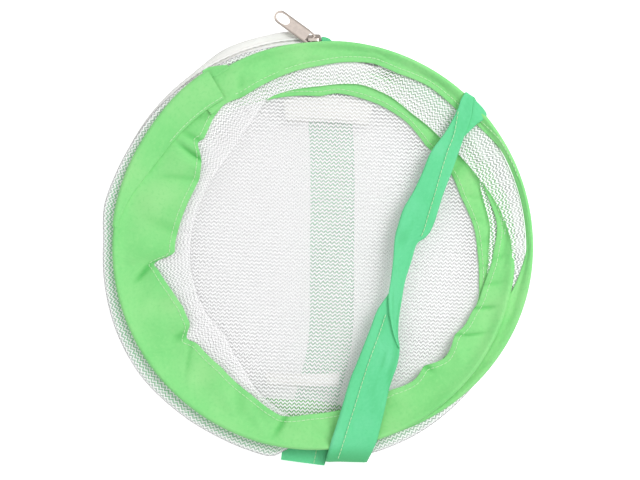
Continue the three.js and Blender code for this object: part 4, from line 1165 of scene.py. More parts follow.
class CAGE_OT_stage(bpy.types.Operator):
    """Set the white floor, the soft light and the camera straight above the cage."""

    bl_idname = "cage.stage"
    bl_label = "Stage and Camera"

    WHITE = (1, 1, 1, 1)
    FLOOR_SIZE = 6.0
    FLOOR_LEVEL = -0.0006
    FLOOR_DARK = (0.88, 0.88, 0.88, 1)
    FLOOR_LIGHT = (0.9, 0.9, 0.9, 1)
    FLOOR_TONE_SCALE = 3.0
    FLOOR_GLOW = 0.2
    BARE_FLOOR_GLOW = 0.4
    ROOM_LIGHT = 0.52
    ROOM_GLOW = 0.5
    LENS = 85.0
    CAMERA_PLACE = (0.0014, 0.0069, 1.0516)

    # Name, place, width and power of each lamp
    LAMPS = (("key_light", (1.0, 0.6, 1.2), 0.9, 18.5), ("fill_light", (-0.8, -0.6, 1.3), 1.4, 6.5))

    def execute(self, context):
        scene = context.scene
        scene.view_settings.view_transform = "Standard"
        bpy.ops.object.select_all(action="DESELECT")
        bpy.ops.mesh.primitive_plane_add(size=self.FLOOR_SIZE, location=(0, 0, self.FLOOR_LEVEL))
        floor = context.active_object
        floor.name = "floor"
        bpy.ops.object.transform_apply(location=True, rotation=True, scale=True)
        floor.data.materials.append(shared_material("white_floor", self.paint_floor))
        self.light_world(scene)
        for lamp in self.LAMPS:
            self.add_lamp(scene, *lamp)
        camera_data = bpy.data.cameras.new("camera")
        camera_data.lens = self.LENS
        camera = bpy.data.objects.new("camera", camera_data)
        camera.location = self.CAMERA_PLACE
        scene.collection.objects.link(camera)
        scene.camera = camera
        return {"FINISHED"}

    def paint_floor(self, pen, shader):
        """Matt white that glows where it is seen, and less where that is through mesh."""
        tone = pen.noise(pen.node("ShaderNodeTexCoord").outputs["Object"], self.FLOOR_TONE_SCALE)
        rays = pen.node("ShaderNodeLightPath").outputs
        bare = pen.math("LESS_THAN", rays["Transparent Depth"], 0.5)
        glow = pen.math("ADD", self.FLOOR_GLOW, pen.math("MULTIPLY", bare, self.BARE_FLOOR_GLOW))
        pen.fill(shader, {
            "Base Color": pen.mix(tone, self.FLOOR_DARK, self.FLOOR_LIGHT),
            "Roughness": 0.9,
            "Specular IOR Level": 0.0,
            "Emission Color": self.WHITE,
            "Emission Strength": pen.math("MULTIPLY", self.seen_rays(pen, rays), glow),
        })

    def seen_rays(self, pen, rays):
        """Mask of the rays that show the white room: to the camera, in metal and through gaps."""
        mirrored = pen.math("MAXIMUM", rays["Is Glossy Ray"], rays["Is Transmission Ray"])
        return pen.math("MAXIMUM", rays["Is Camera Ray"], mirrored)

    def light_world(self, scene):
        """Make the white room, brighter where it is seen than where it lights."""
        world = bpy.data.worlds.new("soft_room")
        world.use_nodes = True
        scene.world = world
        pen = NodePen(world.node_tree)
        seen = self.seen_rays(pen, pen.node("ShaderNodeLightPath").outputs)
        pen.fill(world.node_tree.nodes["Background"], {
            "Color": self.WHITE,
            "Strength": pen.math("ADD", self.ROOM_LIGHT, pen.math("MULTIPLY", seen, self.ROOM_GLOW)),
        })

    def add_lamp(self, scene, name, place, width, power):
        """Add a soft lamp that points at the cage."""
        lamp = bpy.data.lights.new(name, "AREA")
        lamp.size = width
        lamp.energy = power
        lamp_object = bpy.data.objects.new(name, lamp)
        lamp_object.location = place
        lamp_object.rotation_euler = (-Vector(place)).to_track_quat("-Z", "Y").to_euler()
        scene.collection.objects.link(lamp_object)


class CAGE_OT_back_hoop(bpy.types.Operator):
    """Sew the back hoop's casing and stretch the back panel of mesh in it."""

    bl_idname = "cage.back_hoop"
    bl_label = "Back Hoop and Panel"

    TUNNEL = 1.95
    SEAM_SETBACK = 3.4
    PANEL_RADIUS = 116.0
    KNIT_TURN = 8.0
    BAND_THICKNESS = 0.5
    BAND_STEPS = (30, 4)
    SLACK = 0.35
    SLACK_SCALE = 0.03
    SLACK_SEED = 4.0

    def execute(self, context):
        casing = Casing(BACK_CENTRE, constant(BACK_HOOP_RADIUS), edge_curve(BACK_HOOP_EDGE),
                        constant(BACK_HOOP_HEIGHT), constant(BACK_HOOP_HEIGHT), constant(0.0),
                        tunnel=constant(self.TUNNEL), seed=1.0, wobble=0.25)
        seam = (*FULL_TURN, self.SEAM_SETBACK)
        _, piece, cut = sew_casing("back_hoop_cloth", casing, FULL_TURN, seam, step=1.5)
        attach(piece, "back_end")
        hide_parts("back_hoop_casing")
        skin = Skin()
        skin.grid(disc_rows(BACK_CENTRE, self.PANEL_RADIUS, BACK_HOOP_HEIGHT, self.swell, self.KNIT_TURN))
        for band in (PANEL_BAND, PANEL_TOP_BAND):
            skin.grid(ribbon_rows(band, self.BAND_THICKNESS, *self.BAND_STEPS), finish=1)
        panel = skin.make("back_panel_mesh", [back_tricot(), tape_cloth()])
        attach(panel, "back_end")
        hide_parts("back_panel_net")
        for name in ("back_hoop_wire", "back_hoop_ferrule"):
            dress_node(name, spring_steel())
        return {"FINISHED"}

    def swell(self, x, y):
        """Slack of the back panel: soft swells."""
        return self.SLACK * noise.noise(Vector((x * self.SLACK_SCALE, y * self.SLACK_SCALE, self.SLACK_SEED)))


class CAGE_OT_zip(bpy.types.Operator):
    """Lay the two zip tapes and finish the rows, stops, slider and pull."""

    bl_idname = "cage.zip"
    bl_label = "Zip"

    # Profiles of the tapes as (radius, height): the wall's, and the lid's where it is turned and where tucked
    WALL_TAPE = [(129.0, 6.35), (136.6, 6.35), (137.1, 6.1), (138.4, 6.0)]
    TURNED_LID_TAPE = [(137.5, 6.45), (143.4, 6.35), (144.3, 5.2), (143.2, 3.6), (134.0, 3.5)]
    TUCKED_LID_TAPE = [(137.5, 6.45), (139.6, 6.42), (140.0, 6.35), (139.7, 6.28), (138.2, 6.25)]

    # Angles over which the lid's tape comes out of its tuck and goes back into it
    UNTUCKED = (90, 95)
    TUCKED = (112, 127)

    TAPE_STEPS = 130
    TAPE_THICKNESS = 0.0004
    WAVE = 0.15
    WAVE_SCALE = 6.0
    WAVE_SEED = 3.0
    WAVE_ACROSS = 0.1
    WELD_DISTANCE = 0.00001
    BEVEL_WIDTH = 0.00042
    BEVEL_ANGLE = 35

    def execute(self, context):
        self.tape("zip_tape_wall", self.WALL_TAPE, self.WALL_TAPE, "zip_tape_wall_cloth")
        self.tape("zip_tape_lid", self.TURNED_LID_TAPE, self.TUCKED_LID_TAPE, "zip_tape_lid_cloth")
        for name in ("zip_teeth_lid", "zip_teeth_wall"):
            dress_node(name, zip_nylon())
        nickel = colours().nickel
        # The slider gets painted shade on its plate under the bridge, and the pull inside its long edges
        plated = {
            "zip_closed_stop": shared_material("nickel_plate", paint_metal, colour=nickel),
            "zip_open_stop": shared_material("nickel_plate", paint_metal, colour=nickel),
            "zip_slider": shared_material("nickel_slider", paint_metal, colour=nickel, hollow=slider_floor),
            "zip_pull": shared_material("nickel_pull", paint_metal, colour=nickel, hollow=pull_rim),
        }
        for name, material in plated.items():
            self.soften(dress_node(name, material))
        return {"FINISHED"}

    def soften(self, node):
        """Round the edges of a CAD node a little."""
        weld = node.modifiers.new("weld", "WELD")
        weld.merge_threshold = self.WELD_DISTANCE
        bevel = node.modifiers.new("soft_edges", "BEVEL")
        bevel.width = self.BEVEL_WIDTH
        bevel.segments = 2
        bevel.limit_method = "ANGLE"
        bevel.angle_limit = math.radians(self.BEVEL_ANGLE)

    def tape(self, node, profile, tucked, name):
        """One tape: a thin band along the zip's arc, between two profiles of (radius, height)."""
        start = 86.5
        end = 183
        skin = Skin()
        rows = []
        for index in range(self.TAPE_STEPS + 1):
            angle = lerp(start, end, index / self.TAPE_STEPS)
            tuck = max(smooth(angle, *self.TUCKED), 1 - smooth(angle, *self.UNTUCKED))
            line = [(lerp(wide[0], narrow[0], tuck), lerp(wide[1], narrow[1], tuck))
                    for wide, narrow in zip(profile, tucked)]
            rows.append(self.tape_row(angle, line))
        skin.grid(rows)
        piece = skin.make(name, [tape_cloth()])
        select_only(piece)
        shell = piece.modifiers.new("thickness", "SOLIDIFY")
        shell.thickness = self.TAPE_THICKNESS
        shell.offset = 0.0
        bpy.ops.object.modifier_apply(modifier="thickness")
        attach(piece, "back_end")
        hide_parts(node)

    def tape_row(self, angle, line):
        """The points of a tape at one angle, a little wavy."""
        run = 0.0
        row = []
        for place, (radius, height) in enumerate(line):
            before = line[max(place - 1, 0)]
            run += math.hypot(radius - before[0], height - before[1])
            wave = self.WAVE * ripple(angle, radius * self.WAVE_ACROSS, self.WAVE_SCALE, self.WAVE_SEED)
            point = polar(BACK_CENTRE, angle, radius + wave, height)
            row.append((point, (math.radians(angle) * radius, run), 0.0))
        return row


class CAGE_OT_front_hoop(bpy.types.Operator):
    """Sew the front hoop's casing and stretch the front panel of mesh in it."""

    bl_idname = "cage.front_hoop"
    bl_label = "Front Hoop and Panel"

    TUNNEL = 2.0
    EDGE_LIFT = 1.0
    SEAM_SETBACK = 3.0
    PANEL_RADIUS = 120.0
    KNIT_TURN = -3.0

    # The long wrinkle: a point on it, its slope, its spread, and where it starts and ends across the panel
    WRINKLE_POINT = (20, 34)
    WRINKLE_SLOPE = 0.16
    WRINKLE_SPREAD = 2.2
    WRINKLE_START = (-20, 10)
    WRINKLE_END = (45, 70)
    FLAT_RIM = (90, 105)

    def execute(self, context):
        edge_height = FRONT_HOOP_HEIGHT + self.EDGE_LIFT
        casing = Casing(FRONT_CENTRE, constant(FRONT_HOOP_RADIUS), edge_curve(FRONT_HOOP_EDGE),
                        constant(FRONT_HOOP_HEIGHT), constant(edge_height), constant(1.0),
                        tunnel=constant(self.TUNNEL), creases=FRONT_HOOP_CREASES, seed=2.0, wobble=0.5)
        seam = (*FULL_TURN, self.SEAM_SETBACK)
        _, piece, cut = sew_casing("front_hoop_cloth", casing, FULL_TURN, seam, step=1.0)
        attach(piece, "front_end")
        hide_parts("front_hoop_casing")
        skin = Skin()
        skin.grid(disc_rows(FRONT_CENTRE, self.PANEL_RADIUS, FRONT_HOOP_HEIGHT, self.swell, self.KNIT_TURN))
        panel = skin.make("front_panel_mesh", [panel_tricot()])
        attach(panel, "front_end")
        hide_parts("front_panel_net")
        for name in ("front_hoop_wire", "front_hoop_ferrule"):
            dress_node(name, spring_steel())
        return {"FINISHED"}

    def swell(self, x, y):
        """Slack of the front panel: broad and fine swells, and one long slanting wrinkle under the strap."""
        apart = y - self.WRINKLE_POINT[1] - self.WRINKLE_SLOPE * (x - self.WRINKLE_POINT[0])
        run = smooth(x, *self.WRINKLE_START)
        wrinkle = bell(apart, self.WRINKLE_SPREAD) * run * (1 - smooth(x, *self.WRINKLE_END))
        broad = 0.6 * noise.noise(Vector((x * 0.022, y * 0.022, 9.0)))
        fine = 0.25 * noise.noise(Vector((x * 0.06 + y * 0.02, y * 0.06, 2.0)))
        rim = 1 - smooth(math.hypot(x - FRONT_CENTRE[0], y - FRONT_CENTRE[1]), *self.FLAT_RIM)
        return (wrinkle + broad + fine) * rim


class CAGE_OT_coil(bpy.types.Operator):
    """Wind the coil spring and sew its two casings and the sleeve over their joint."""

    bl_idname = "cage.coil"
    bl_label = "Coil Spring and Casings"

    # First and last angle of each casing, and of its seam with the seam's setback
    LOWER_RUN = (131, -90)
    LOWER_SEAM = (121, 20, 3.6)
    UPPER_RUN = (27, -242)
    UPPER_SEAM = (25, -240, 3.6)
    SLEEVE_RUN = (121, 174)
    SLEEVE_SEAM = (121.5, 145, 1.6)

    # Radii of the tunnels where they close, and the sleeve's tunnel, radii and flap
    LOWER_END_TUNNEL = 1.2
    UPPER_START_TUNNEL = 0.6
    UPPER_END_TUNNEL = 0.5
    SLEEVE_TUNNEL = 2.4
    SLEEVE_RADII = (139.5, 136.8)
    FLAP_THICKNESS = 0.6
    FLAP_STEPS = (20, 6)
    FLAP_ANGLE = -239

    # The lower tunnel beside the zip's pull: the angle, the spread and the depth to which it is pressed
    PRESSED_ANGLE = 95
    PRESSED_SPREAD = 6
    PRESSED_DEPTH = 0.6

    # Heights of the casings' wires and edges
    LOWER_START_DIP = 0.4
    LOWER_EDGE_HEIGHTS = (13.8, 14.2)
    UPPER_START_HEIGHT = 10.7
    UPPER_END_HEIGHT = 13.3
    HANGING_EDGE_HEIGHT = 13.4
    RESTING_EDGE_HEIGHT = 15.2
    UPPER_START_EDGE_HEIGHT = 11.7
    SLEEVE_START_HEIGHT = 17.4
    SLEEVE_LIFT = 0.2
    SLEEVE_START_EDGE_HEIGHT = 16.9
    SLEEVE_EDGE_HEIGHTS = (15.6, 16.6)

    # The wire: the angles over which it passes from the upper turn to the lower, its sides and its caps
    CROSSING = (216, 240)
    WIRE_STEP = 3.0
    WIRE_SIDES = 8
    CAP_GIRTH = 1.5
    CAP_POINTS = 3

    def execute(self, context):
        self.wire()
        lower = Casing(LOWER_TURN_CENTRE, self.lower_radius, edge_curve(LOWER_TURN_EDGE), self.lower_height,
                       self.lower_edge_height, self.lower_rise, tunnel=self.lower_tunnel,
                       creases=LOWER_TURN_CREASES, seed=4.0, wobble=0.8, spread=1.4)
        sewn = sew_casing("coil_cloth_rear", lower, self.LOWER_RUN, self.LOWER_SEAM)
        self.finish_casing(*sewn, "coil_casing_rear")
        upper = Casing(UPPER_TURN_CENTRE, constant(UPPER_TURN_RADIUS), edge_curve(UPPER_TURN_EDGE),
                       self.upper_height, self.upper_edge_height, coil_rise, tunnel=self.upper_tunnel,
                       creases=UPPER_TURN_CREASES, seed=5.0, wobble=1.7, groove=0.0, spread=1.7)
        sewn = sew_casing("coil_cloth_front", upper, self.UPPER_RUN, self.UPPER_SEAM, step=0.6)
        self.finish_casing(*sewn, "coil_casing_front")
        sleeve = Casing(UPPER_TURN_CENTRE, self.sleeve_radius, edge_curve(SLEEVE_EDGE), self.sleeve_height,
                        self.sleeve_edge_height, self.lower_rise, tunnel=constant(self.SLEEVE_TUNNEL),
                        seed=6.0, wobble=0.4, groove=0.0, spread=3.2)
        flap_rise = coil_rise(self.FLAP_ANGLE)
        flap = ribbon_rows(SLEEVE_FLAP, self.FLAP_THICKNESS, *self.FLAP_STEPS, rise=flap_rise)
        sewn = sew_casing("coil_joint_sleeve_cloth", sleeve, self.SLEEVE_RUN, self.SLEEVE_SEAM, flap=flap)
        self.finish_casing(*sewn, "casing_joint_sleeve")
        return {"FINISHED"}

    def finish_casing(self, skin, piece, cut, node):
        """Set a casing's points for a moment from their shares of the travel, and hide the CAD node that it
        stands for.
        """
        skin.blend(piece)
        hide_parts(node)

    def lower_rise(self, angle):
        """Rise of the lower turn, one turn behind the upper."""
        return coil_rise(angle - 360)

    def lower_radius(self, angle):
        """The lower turn draws in towards its end."""
        return lerp(LOWER_TURN_RADIUS, LOWER_TURN_END_RADIUS, smooth(-angle, 5, 85))

    def lower_height(self, angle):
        """The start of the lower turn's casing lies low under the sleeve."""
        return coil_height(angle - 360) - self.LOWER_START_DIP * smooth(angle, 116, 124)

    def lower_edge_height(self, angle):
        """The lower turn's edge lies a little lower past the cage's right side."""
        return lerp(*self.LOWER_EDGE_HEIGHTS, smooth(angle, 0, 60))

    def lower_tunnel(self, angle):
        """The tunnel closes under the sleeve, and is pressed flatter beside the zip's pull."""
        open_run = lerp(sizes().tunnel_radius / MM, self.LOWER_END_TUNNEL, smooth(angle, 117, 124))
        return open_run - self.PRESSED_DEPTH * bell(angle - self.PRESSED_ANGLE, self.PRESSED_SPREAD)

    def sleeve_radius(self, angle):
        """The sleeve stands out at its start and draws in towards its end."""
        return lerp(*self.SLEEVE_RADII, smooth(angle, 122, 150))

    def sleeve_height(self, angle):
        """The sleeve starts above the joint and settles on the coil."""
        settled = coil_height(angle - 360) + self.SLEEVE_LIFT
        return lerp(self.SLEEVE_START_HEIGHT, settled, smooth(angle, 124, 140))

    def sleeve_edge_height(self, angle):
        """The sleeve's edge starts high, lies down and lifts again towards its end."""
        lying = lerp(*self.SLEEVE_EDGE_HEIGHTS, smooth(angle, 150, 172))
        return lerp(self.SLEEVE_START_EDGE_HEIGHT, lying, smooth(angle, 122, 140))

    def upper_wire_height(self, angle):
        """The upper turn's start dips under the mesh strip of the lower turn."""
        return lerp(coil_height(angle), self.UPPER_START_HEIGHT, smooth(angle, -50, 12))

    def upper_height(self, angle):
        """The casing's end, past its wire, dips under the sleeve and the lower turn."""
        return lerp(self.upper_wire_height(angle), self.UPPER_END_HEIGHT, smooth(-angle, 205, 232))

    def upper_edge_height(self, angle):
        """The gathered edge hangs lowest at the left and rests on the lower turn at the bottom."""
        hanging = lerp(self.HANGING_EDGE_HEIGHT, self.RESTING_EDGE_HEIGHT, smooth(angle, -125, -90))
        return lerp(hanging, self.UPPER_START_EDGE_HEIGHT, smooth(angle, -45, -5))

    def upper_tunnel(self, angle):
        """The tunnel closes towards both ends of the casing."""
        full = sizes().tunnel_radius / MM
        started = lerp(full, self.UPPER_START_TUNNEL, smooth(angle, 6, 24))
        return lerp(started, self.UPPER_END_TUNNEL, smooth(-angle, 208, 228))

    def wire(self):
        """The coil's wire in one run, with a moulded cap at each end."""
        radius = sizes().wire_radius / MM
        path = []
        rise = []
        angle = COIL_HEAD_ANGLE
        while angle >= COIL_FOOT_ANGLE:
            path.append(self.wire_point(angle))
            rise.append(coil_rise(angle))
            angle -= self.WIRE_STEP
        skin = Skin()
        skin.tube(path, [radius] * len(path), self.WIRE_SIDES, rise)
        for first in (0, len(path) - self.CAP_POINTS):
            last = first + self.CAP_POINTS
            girths = [radius * self.CAP_GIRTH] * self.CAP_POINTS
            skin.tube(path[first:last], girths, self.WIRE_SIDES, rise[first:last], finish=1)
        piece = skin.make("coil_wire", [spring_steel(), zip_nylon()])
        skin.blend(piece)
        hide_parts("coil_spring", "coil_spring_cap_front", "coil_spring_cap_rear")

    def wire_point(self, angle):
        """A point of the wire, which passes from the upper turn's circle to the lower turn's."""
        if -angle <= self.CROSSING[0]:
            return polar(UPPER_TURN_CENTRE, angle, UPPER_TURN_RADIUS, self.upper_wire_height(angle))
        upper = polar(UPPER_TURN_CENTRE, angle, UPPER_TURN_RADIUS, coil_height(angle))
        lower = polar(LOWER_TURN_CENTRE, angle, self.lower_radius(angle + 360), coil_height(angle))
        return upper.lerp(lower, smooth(-angle, *self.CROSSING))


class CAGE_OT_wall(bpy.types.Operator):
    """Fold the mesh wall flat: the bulge outside the coil, fine pleats under it and the strip inside it."""

    bl_idname = "cage.wall"
    bl_label = "Mesh Wall"

    COLUMNS = 300
    GIRTH_RADIUS = 131.0
    HEM_RADIUS = 131.5
    HEM_HEIGHT = 7.0

    # The bulge: its thickness, the rounding of its fold, and how far in its upper side and the pleats lie
    BULGE_DEPTH = 0.9
    BULGE_ROUNDING = 1.2
    BULGE_STEPS = 4
    BULGE_ROOT = 1.0
    BULGE_FALL = 0.3
    BULGE_INSIDE = 134.0
    PLEATS_INSIDE = 5.0

    # Closing of the gaps by more mesh at the bulge's fold and beside it, and how soon the bulge's painted gap
    # shade takes over
    FOLD_BACKING = -0.7
    BESIDE_FOLD_BACKING = -0.25
    GAP_SHADE_FROM = 0.6
    GAP_SHADE_BY = 0.25

    PLEATS = 44
    PLEAT_SWING = 2.4
    PLEAT_WOBBLE = 0.8
    PLEAT_DRIFT = 0.7
    PLEAT_CLEARANCES = (0.15, -0.35)

    # The strip inside the coil, the layer under it and the sliver beside the upper turn's start
    STRIP_STEPS = 8
    STRIP_SLACK = 0.4
    STRIP_SAG = 0.8
    STRIP_FOLD = 0.5
    STRIP_FADE = 0.8
    STRIP_FADE_RUN = (0.3, 0.85)
    RETURN_STEPS = 4
    RETURN_RADIUS = 124.5
    RETURN_CLEARANCE = 0.2
    RETURN_FOLD_HEIGHTS = (11.3, 9.9)
    RETURN_ROOT_HEIGHTS = (11.05, 9.8)
    SLIVER_RUN = (-9, 24)
    SLIVER_STEPS = 24
    SLIVER_CROSS_STEPS = 3
    SLIVER_OUTSIDE = 4.0
    SLIVER_INSIDE = 4.6
    SLIVER_BLUNTNESS = 0.8
    SLIVER_HEIGHTS = (11.0, 11.15)

    # Shares of the front end's travel that each part of the wall takes, from the hem up
    STAND_RISE = (0.0, 0.05, 0.1)
    UNDERSIDE_RISE = (0.105, 0.125)
    FOLD_RISE = 0.13
    TOPSIDE_RISE = (0.135, 0.15)
    PLEAT_RISE = (0.155, 0.92)
    STRIP_RISE = (0.93, 0.965)
    RETURN_RISE = (0.967, 1.0)
    SLIVER_RISE = 0.985

    def execute(self, context):
        self.strip_edge = edge_curve(STRIP_EDGE, 2.0)
        self.strip_root = edge_curve(STRIP_ROOT, 3.0)
        self.strip_root_height = edge_curve(STRIP_ROOT_HEIGHT, 4.0)
        self.strip_edge_height = edge_curve(STRIP_EDGE_HEIGHT, 4.0)
        self.strip_gap_shade_and_closure = edge_curve(STRIP_GAP_SHADE_AND_CLOSURE, 3.0)
        self.bulge_edge = edge_curve(BULGE_EDGE, 2.0)
        self.bulge_height = edge_curve(BULGE_HEIGHT, 6.0)
        self.bulge_gap_shade = edge_curve(BULGE_GAP_SHADE, 3.0)
        skin = Skin()
        angles = [360 * column / self.COLUMNS for column in range(self.COLUMNS + 1)]
        skin.grid([self.column(angle) for angle in angles])
        skin.grid([self.strip_return(angle) for angle in angles])
        skin.grid(self.sliver_rows())
        piece = skin.make("wall_mesh", [wall_tricot()])
        skin.blend(piece)
        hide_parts("front_wall_mesh", "rear_wall_mesh")
        return {"FINISHED"}

    def girth(self, angle):
        """Length along the wall's girth at an angle, for the cloth coordinates."""
        return math.radians(angle) * self.GIRTH_RADIUS

    def column(self, angle):
        """One line of the wall from the back hem up to the strip's fold."""
        line = self.underside(angle) + self.topside(angle) + self.pleats(angle) + self.strip(angle)
        spots = []
        run = 0.0
        before = line[0]
        for radius, height, rise, gap_shade_and_closure in line:
            run += math.hypot(radius - before[0], height - before[1])
            before = (radius, height)
            spots.append((polar(WALL_CENTRE, angle, radius, height), (self.girth(angle), run), rise, gap_shade_and_closure))
        return spots

    def underside(self, angle):
        """Up from the hem and out along the bulge's lower side to its fold."""
        edge = self.bulge_edge(angle)
        high = self.bulge_height(angle)
        low = high - self.BULGE_DEPTH
        hem = polar(BACK_CENTRE, angle, self.HEM_RADIUS, self.HEM_HEIGHT)
        radius = math.hypot(hem.x - WALL_CENTRE[0], hem.y - WALL_CENTRE[1])
        levels = (self.HEM_HEIGHT, lerp(self.HEM_HEIGHT, low, 0.5), low - self.BULGE_ROOT)
        line = [(radius, level, rise, 0.0) for level, rise in zip(levels, self.STAND_RISE)]
        for step in range(self.BULGE_STEPS + 1):
            share = step / self.BULGE_STEPS
            reach = lerp(radius + self.BULGE_ROOT, edge - self.BULGE_ROUNDING, share)
            line.append((reach, low, lerp(*self.UNDERSIDE_RISE, share), 0.0))
        line.append((edge, lerp(low, high, 0.5), self.FOLD_RISE, self.FOLD_BACKING))
        return line

    def topside(self, angle):
        """In along the bulge's upper side, which shows outside the coil."""
        edge = self.bulge_edge(angle)
        inside = min(edge - self.PLEATS_INSIDE, self.BULGE_INSIDE)
        line = []
        for step in range(self.BULGE_STEPS + 1):
            share = step / self.BULGE_STEPS
            radius = lerp(edge - self.BULGE_ROUNDING, inside, share)
            height = self.bulge_height(angle) - self.BULGE_FALL * share
            # The gaps close at the fold and take the bulge's painted dark green shade further in
            gap_shade_share = lerp(self.GAP_SHADE_FROM, 1.0, smooth(share, 0.0, self.GAP_SHADE_BY))
            gap_shade_and_closure = lerp(self.BESIDE_FOLD_BACKING, self.bulge_gap_shade(angle), gap_shade_share)
            line.append((radius, height, lerp(*self.TOPSIDE_RISE, share), gap_shade_and_closure))
        return line

    def pleats(self, angle):
        """The fine pleats inside the bulge, which take up most of the wall's height."""
        middle = self.bulge_edge(angle) - self.PLEATS_INSIDE
        high = self.bulge_height(angle)
        low = high - self.BULGE_DEPTH
        above, below = self.PLEAT_CLEARANCES
        line = []
        for pleat in range(self.PLEATS):
            share = pleat / (self.PLEATS - 1)
            swing = self.PLEAT_SWING if pleat % 2 else -self.PLEAT_SWING
            wobble = self.PLEAT_WOBBLE * ripple(angle, pleat * self.PLEAT_DRIFT, scale=9.0, seed=8.0)
            height = lerp(low + above, high + below, share)
            line.append((middle + swing + wobble, height, lerp(*self.PLEAT_RISE, share), 0.0))
        return line

    def strip(self, angle):
        """The part of the line that shows inside the coil, in to the strip's fold."""
        root = self.strip_root(angle)
        edge = self.strip_edge(angle)
        root_height = self.strip_root_height(angle)
        edge_height = self.strip_edge_height(angle)
        slack = self.STRIP_SLACK * ripple(angle, across=0.3, scale=7.0, seed=9.0)
        line = []
        for step in range(self.STRIP_STEPS + 1):
            share = step / self.STRIP_STEPS
            radius = lerp(root, edge + self.STRIP_FOLD, share)
            taut = lerp(root_height, edge_height, share ** self.STRIP_SAG)
            height = taut + slack * math.sin(math.pi * share)
            # Painted gap shade, or closing by more mesh below 0, fading towards the fold
            gap_shade_and_closure = self.strip_gap_shade_and_closure(angle) * (1 - self.STRIP_FADE * smooth(share, *self.STRIP_FADE_RUN))
            line.append((radius, height, lerp(*self.STRIP_RISE, share), gap_shade_and_closure))
        return line

    def strip_return(self, angle):
        """The layer under the strip, from its fold back to the front hoop."""
        edge = self.strip_edge(angle)
        turned = (angle + 180) % 360 - 180
        dip = smooth(turned, -25, -12) * (1 - smooth(turned, 28, 38))
        highest = self.strip_edge_height(angle) - self.RETURN_CLEARANCE
        fold = min(highest, lerp(*self.RETURN_FOLD_HEIGHTS, dip))
        root = lerp(*self.RETURN_ROOT_HEIGHTS, dip)
        spots = []
        for step in range(self.RETURN_STEPS + 1):
            share = step / self.RETURN_STEPS
            radius = lerp(edge + self.STRIP_FOLD, self.RETURN_RADIUS, share)
            point = polar(WALL_CENTRE, angle, radius, lerp(fold, root, share))
            spots.append((point, (self.girth(angle), radius), lerp(*self.RETURN_RISE, share)))
        return spots

    def sliver_rows(self):
        """The bit of mesh that shows between the front hoop's casing and the start of the upper turn."""
        rows = []
        upper_edge = edge_curve(UPPER_TURN_EDGE)
        for step in range(self.SLIVER_STEPS + 1):
            share = step / self.SLIVER_STEPS
            angle = lerp(*self.SLIVER_RUN, share)
            outer = upper_edge(angle) + self.SLIVER_OUTSIDE
            reach = math.sin(math.pi * share) ** self.SLIVER_BLUNTNESS
            inner = upper_edge(angle) - self.SLIVER_INSIDE * reach
            row = []
            for place in range(self.SLIVER_CROSS_STEPS + 1):
                across = place / self.SLIVER_CROSS_STEPS
                radius = lerp(outer, inner, across)
                point = polar(UPPER_TURN_CENTRE, angle, radius, lerp(*self.SLIVER_HEIGHTS, across))
                row.append((point, (self.girth(angle), radius), self.SLIVER_RISE))
            rows.append(row)
        return rows


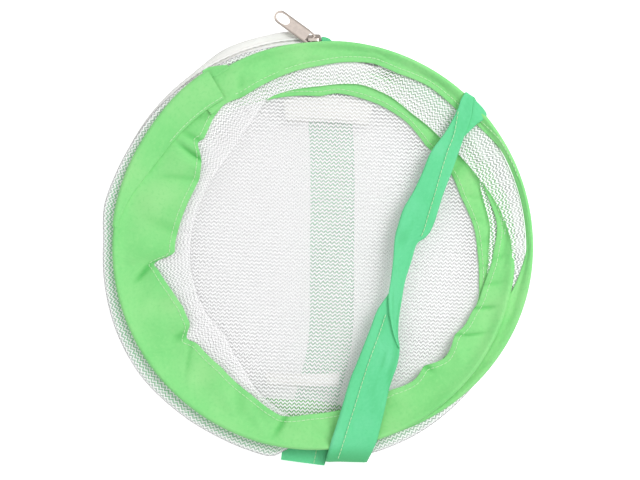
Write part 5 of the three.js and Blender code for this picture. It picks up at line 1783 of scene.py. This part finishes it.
class CAGE_OT_straps(bpy.types.Operator):
    """Fold, stitch and lay the two carrying straps."""

    bl_idname = "cage.straps"
    bl_label = "Carrying Straps"

    # Steps along and across each run of cloth
    CORNER_STEPS = (30, 8)
    LOWER_STEPS = (110, 14)
    UPPER_STEPS = (130, 14)
    BACK_STEPS = (60, 10)
    TAB_STEPS = (16, 8)

    # First and last station of each seam on the front strap, and the seam of the back strap by shares
    UPPER_SEAM_STATIONS = (4, 11)
    LOWER_SEAM_STATIONS = (2, 12)
    BACK_SEAM = [0.75, 0.7, 0.7, 0.7]
    BACK_SEAM_ENDS = (0.01, 0.99)

    CORNER_THINNING = 0.5
    BACK_THICKNESS = 0.8
    TAB_THICKNESS = 0.6
    CROWN = 0.5
    CROWN_FOLDS = 0.35

    def execute(self, context):
        thickness = sizes().strap_thickness / MM
        skin = Skin()
        skin.grid(ribbon_rows(FRONT_STRAP_CORNER, self.CORNER_THINNING * thickness, *self.CORNER_STEPS))
        skin.grid(ribbon_rows(FRONT_STRAP_LOWER, thickness, *self.LOWER_STEPS, fold=self.crown,
                              shade=self.lower_shade))
        skin.grid(ribbon_rows(FRONT_STRAP_UPPER, thickness, *self.UPPER_STEPS, fold=self.crown,
                              shade=self.upper_shade))
        for stations, shares, ends in ((FRONT_STRAP_UPPER, FRONT_STRAP_UPPER_SEAM, self.UPPER_SEAM_STATIONS),
                                       (FRONT_STRAP_LOWER, FRONT_STRAP_LOWER_SEAM, self.LOWER_SEAM_STATIONS)):
            start, end = (station / (len(stations) - 1) for station in ends)
            skin.seam(ribbon_line(stations, thickness, shares, start, end, self.crown))
        piece = skin.make("front_strap_cloth", [strap_cloth(), pale_thread()])
        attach(piece, "front_end")
        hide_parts("front_strap")
        skin = Skin()
        skin.grid(ribbon_rows(BACK_STRAP, self.BACK_THICKNESS, *self.BACK_STEPS))
        skin.grid(ribbon_rows(ZIP_END_TAB, self.TAB_THICKNESS, *self.TAB_STEPS))
        skin.seam(ribbon_line(BACK_STRAP, self.BACK_THICKNESS, self.BACK_SEAM, *self.BACK_SEAM_ENDS))
        piece = skin.make("back_strap_cloth", [strap_cloth(), pale_thread()])
        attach(piece, "back_end")
        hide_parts("back_strap")
        return {"FINISHED"}

    def lower_shade(self, share, place):
        """Painted shade of the lower run: soft folds on its right, and its end turned down from the light."""
        soft = smooth(noise.noise(Vector((share * 8.0, place * 5.0, 6.0))), 0.0, 0.5)
        folds = 0.5 * soft * smooth(place, 0.3, 0.6)
        return min(1.0, folds * (1 - smooth(share, 0.5, 0.65)) + 0.7 * smooth(share, 0.68, 0.8))

    def upper_shade(self, share, place):
        """Painted shade of the upper run: folds that gather towards its twisted end."""
        folds = smooth(noise.noise(Vector((share * 6.0, place * 4.0, 1.0))), 0.05, 0.5)
        return 0.4 * folds * smooth(share, 0.35, 0.7)

    def crown(self, share, place):
        """Lift of the strap's middle, with soft lengthwise folds."""
        folds = self.CROWN_FOLDS * noise.noise(Vector((share * 9.0, place * 2.5, 3.0)))
        return (self.CROWN + folds) * math.sin(math.pi * place)


class CAGE_PT_panel(bpy.types.Panel):
    """Lists the cage's operators, sizes and colours."""

    bl_idname = "CAGE_PT_panel"
    bl_label = "Insect Cage"
    bl_space_type = "VIEW_3D"
    bl_region_type = "UI"
    bl_category = "Cage"

    def draw(self, context):
        layout = self.layout
        for operator in OPERATORS:
            layout.operator(operator.bl_idname)
        for group in (context.scene.cage_sizes, context.scene.cage_colours):
            for name in group.bl_rna.properties.keys():
                if name not in ("rna_type", "name"):
                    layout.prop(group, name)


OPERATORS = (CAGE_OT_stage, CAGE_OT_back_hoop, CAGE_OT_zip, CAGE_OT_front_hoop, CAGE_OT_coil, CAGE_OT_wall,
             CAGE_OT_straps)
CLASSES = (CageSizes, CageColours) + OPERATORS + (CAGE_PT_panel,)


def register():
    """Register the classes and hang the settings on the scene."""
    for cls in CLASSES:
        bpy.utils.register_class(cls)
    bpy.types.Scene.cage_sizes = bpy.props.PointerProperty(type=CageSizes)
    bpy.types.Scene.cage_colours = bpy.props.PointerProperty(type=CageColours)


def unregister():
    """Remove the settings and the classes."""
    del bpy.types.Scene.cage_colours
    del bpy.types.Scene.cage_sizes
    for cls in reversed(CLASSES):
        bpy.utils.unregister_class(cls)


def main():
    """Dress the cage piece by piece."""
    register()
    bpy.ops.cage.stage()
    bpy.ops.cage.back_hoop()
    bpy.ops.cage.zip()
    bpy.ops.cage.front_hoop()
    bpy.ops.cage.coil()
    bpy.ops.cage.wall()
    bpy.ops.cage.straps()


if __name__ == "__main__":
    main()
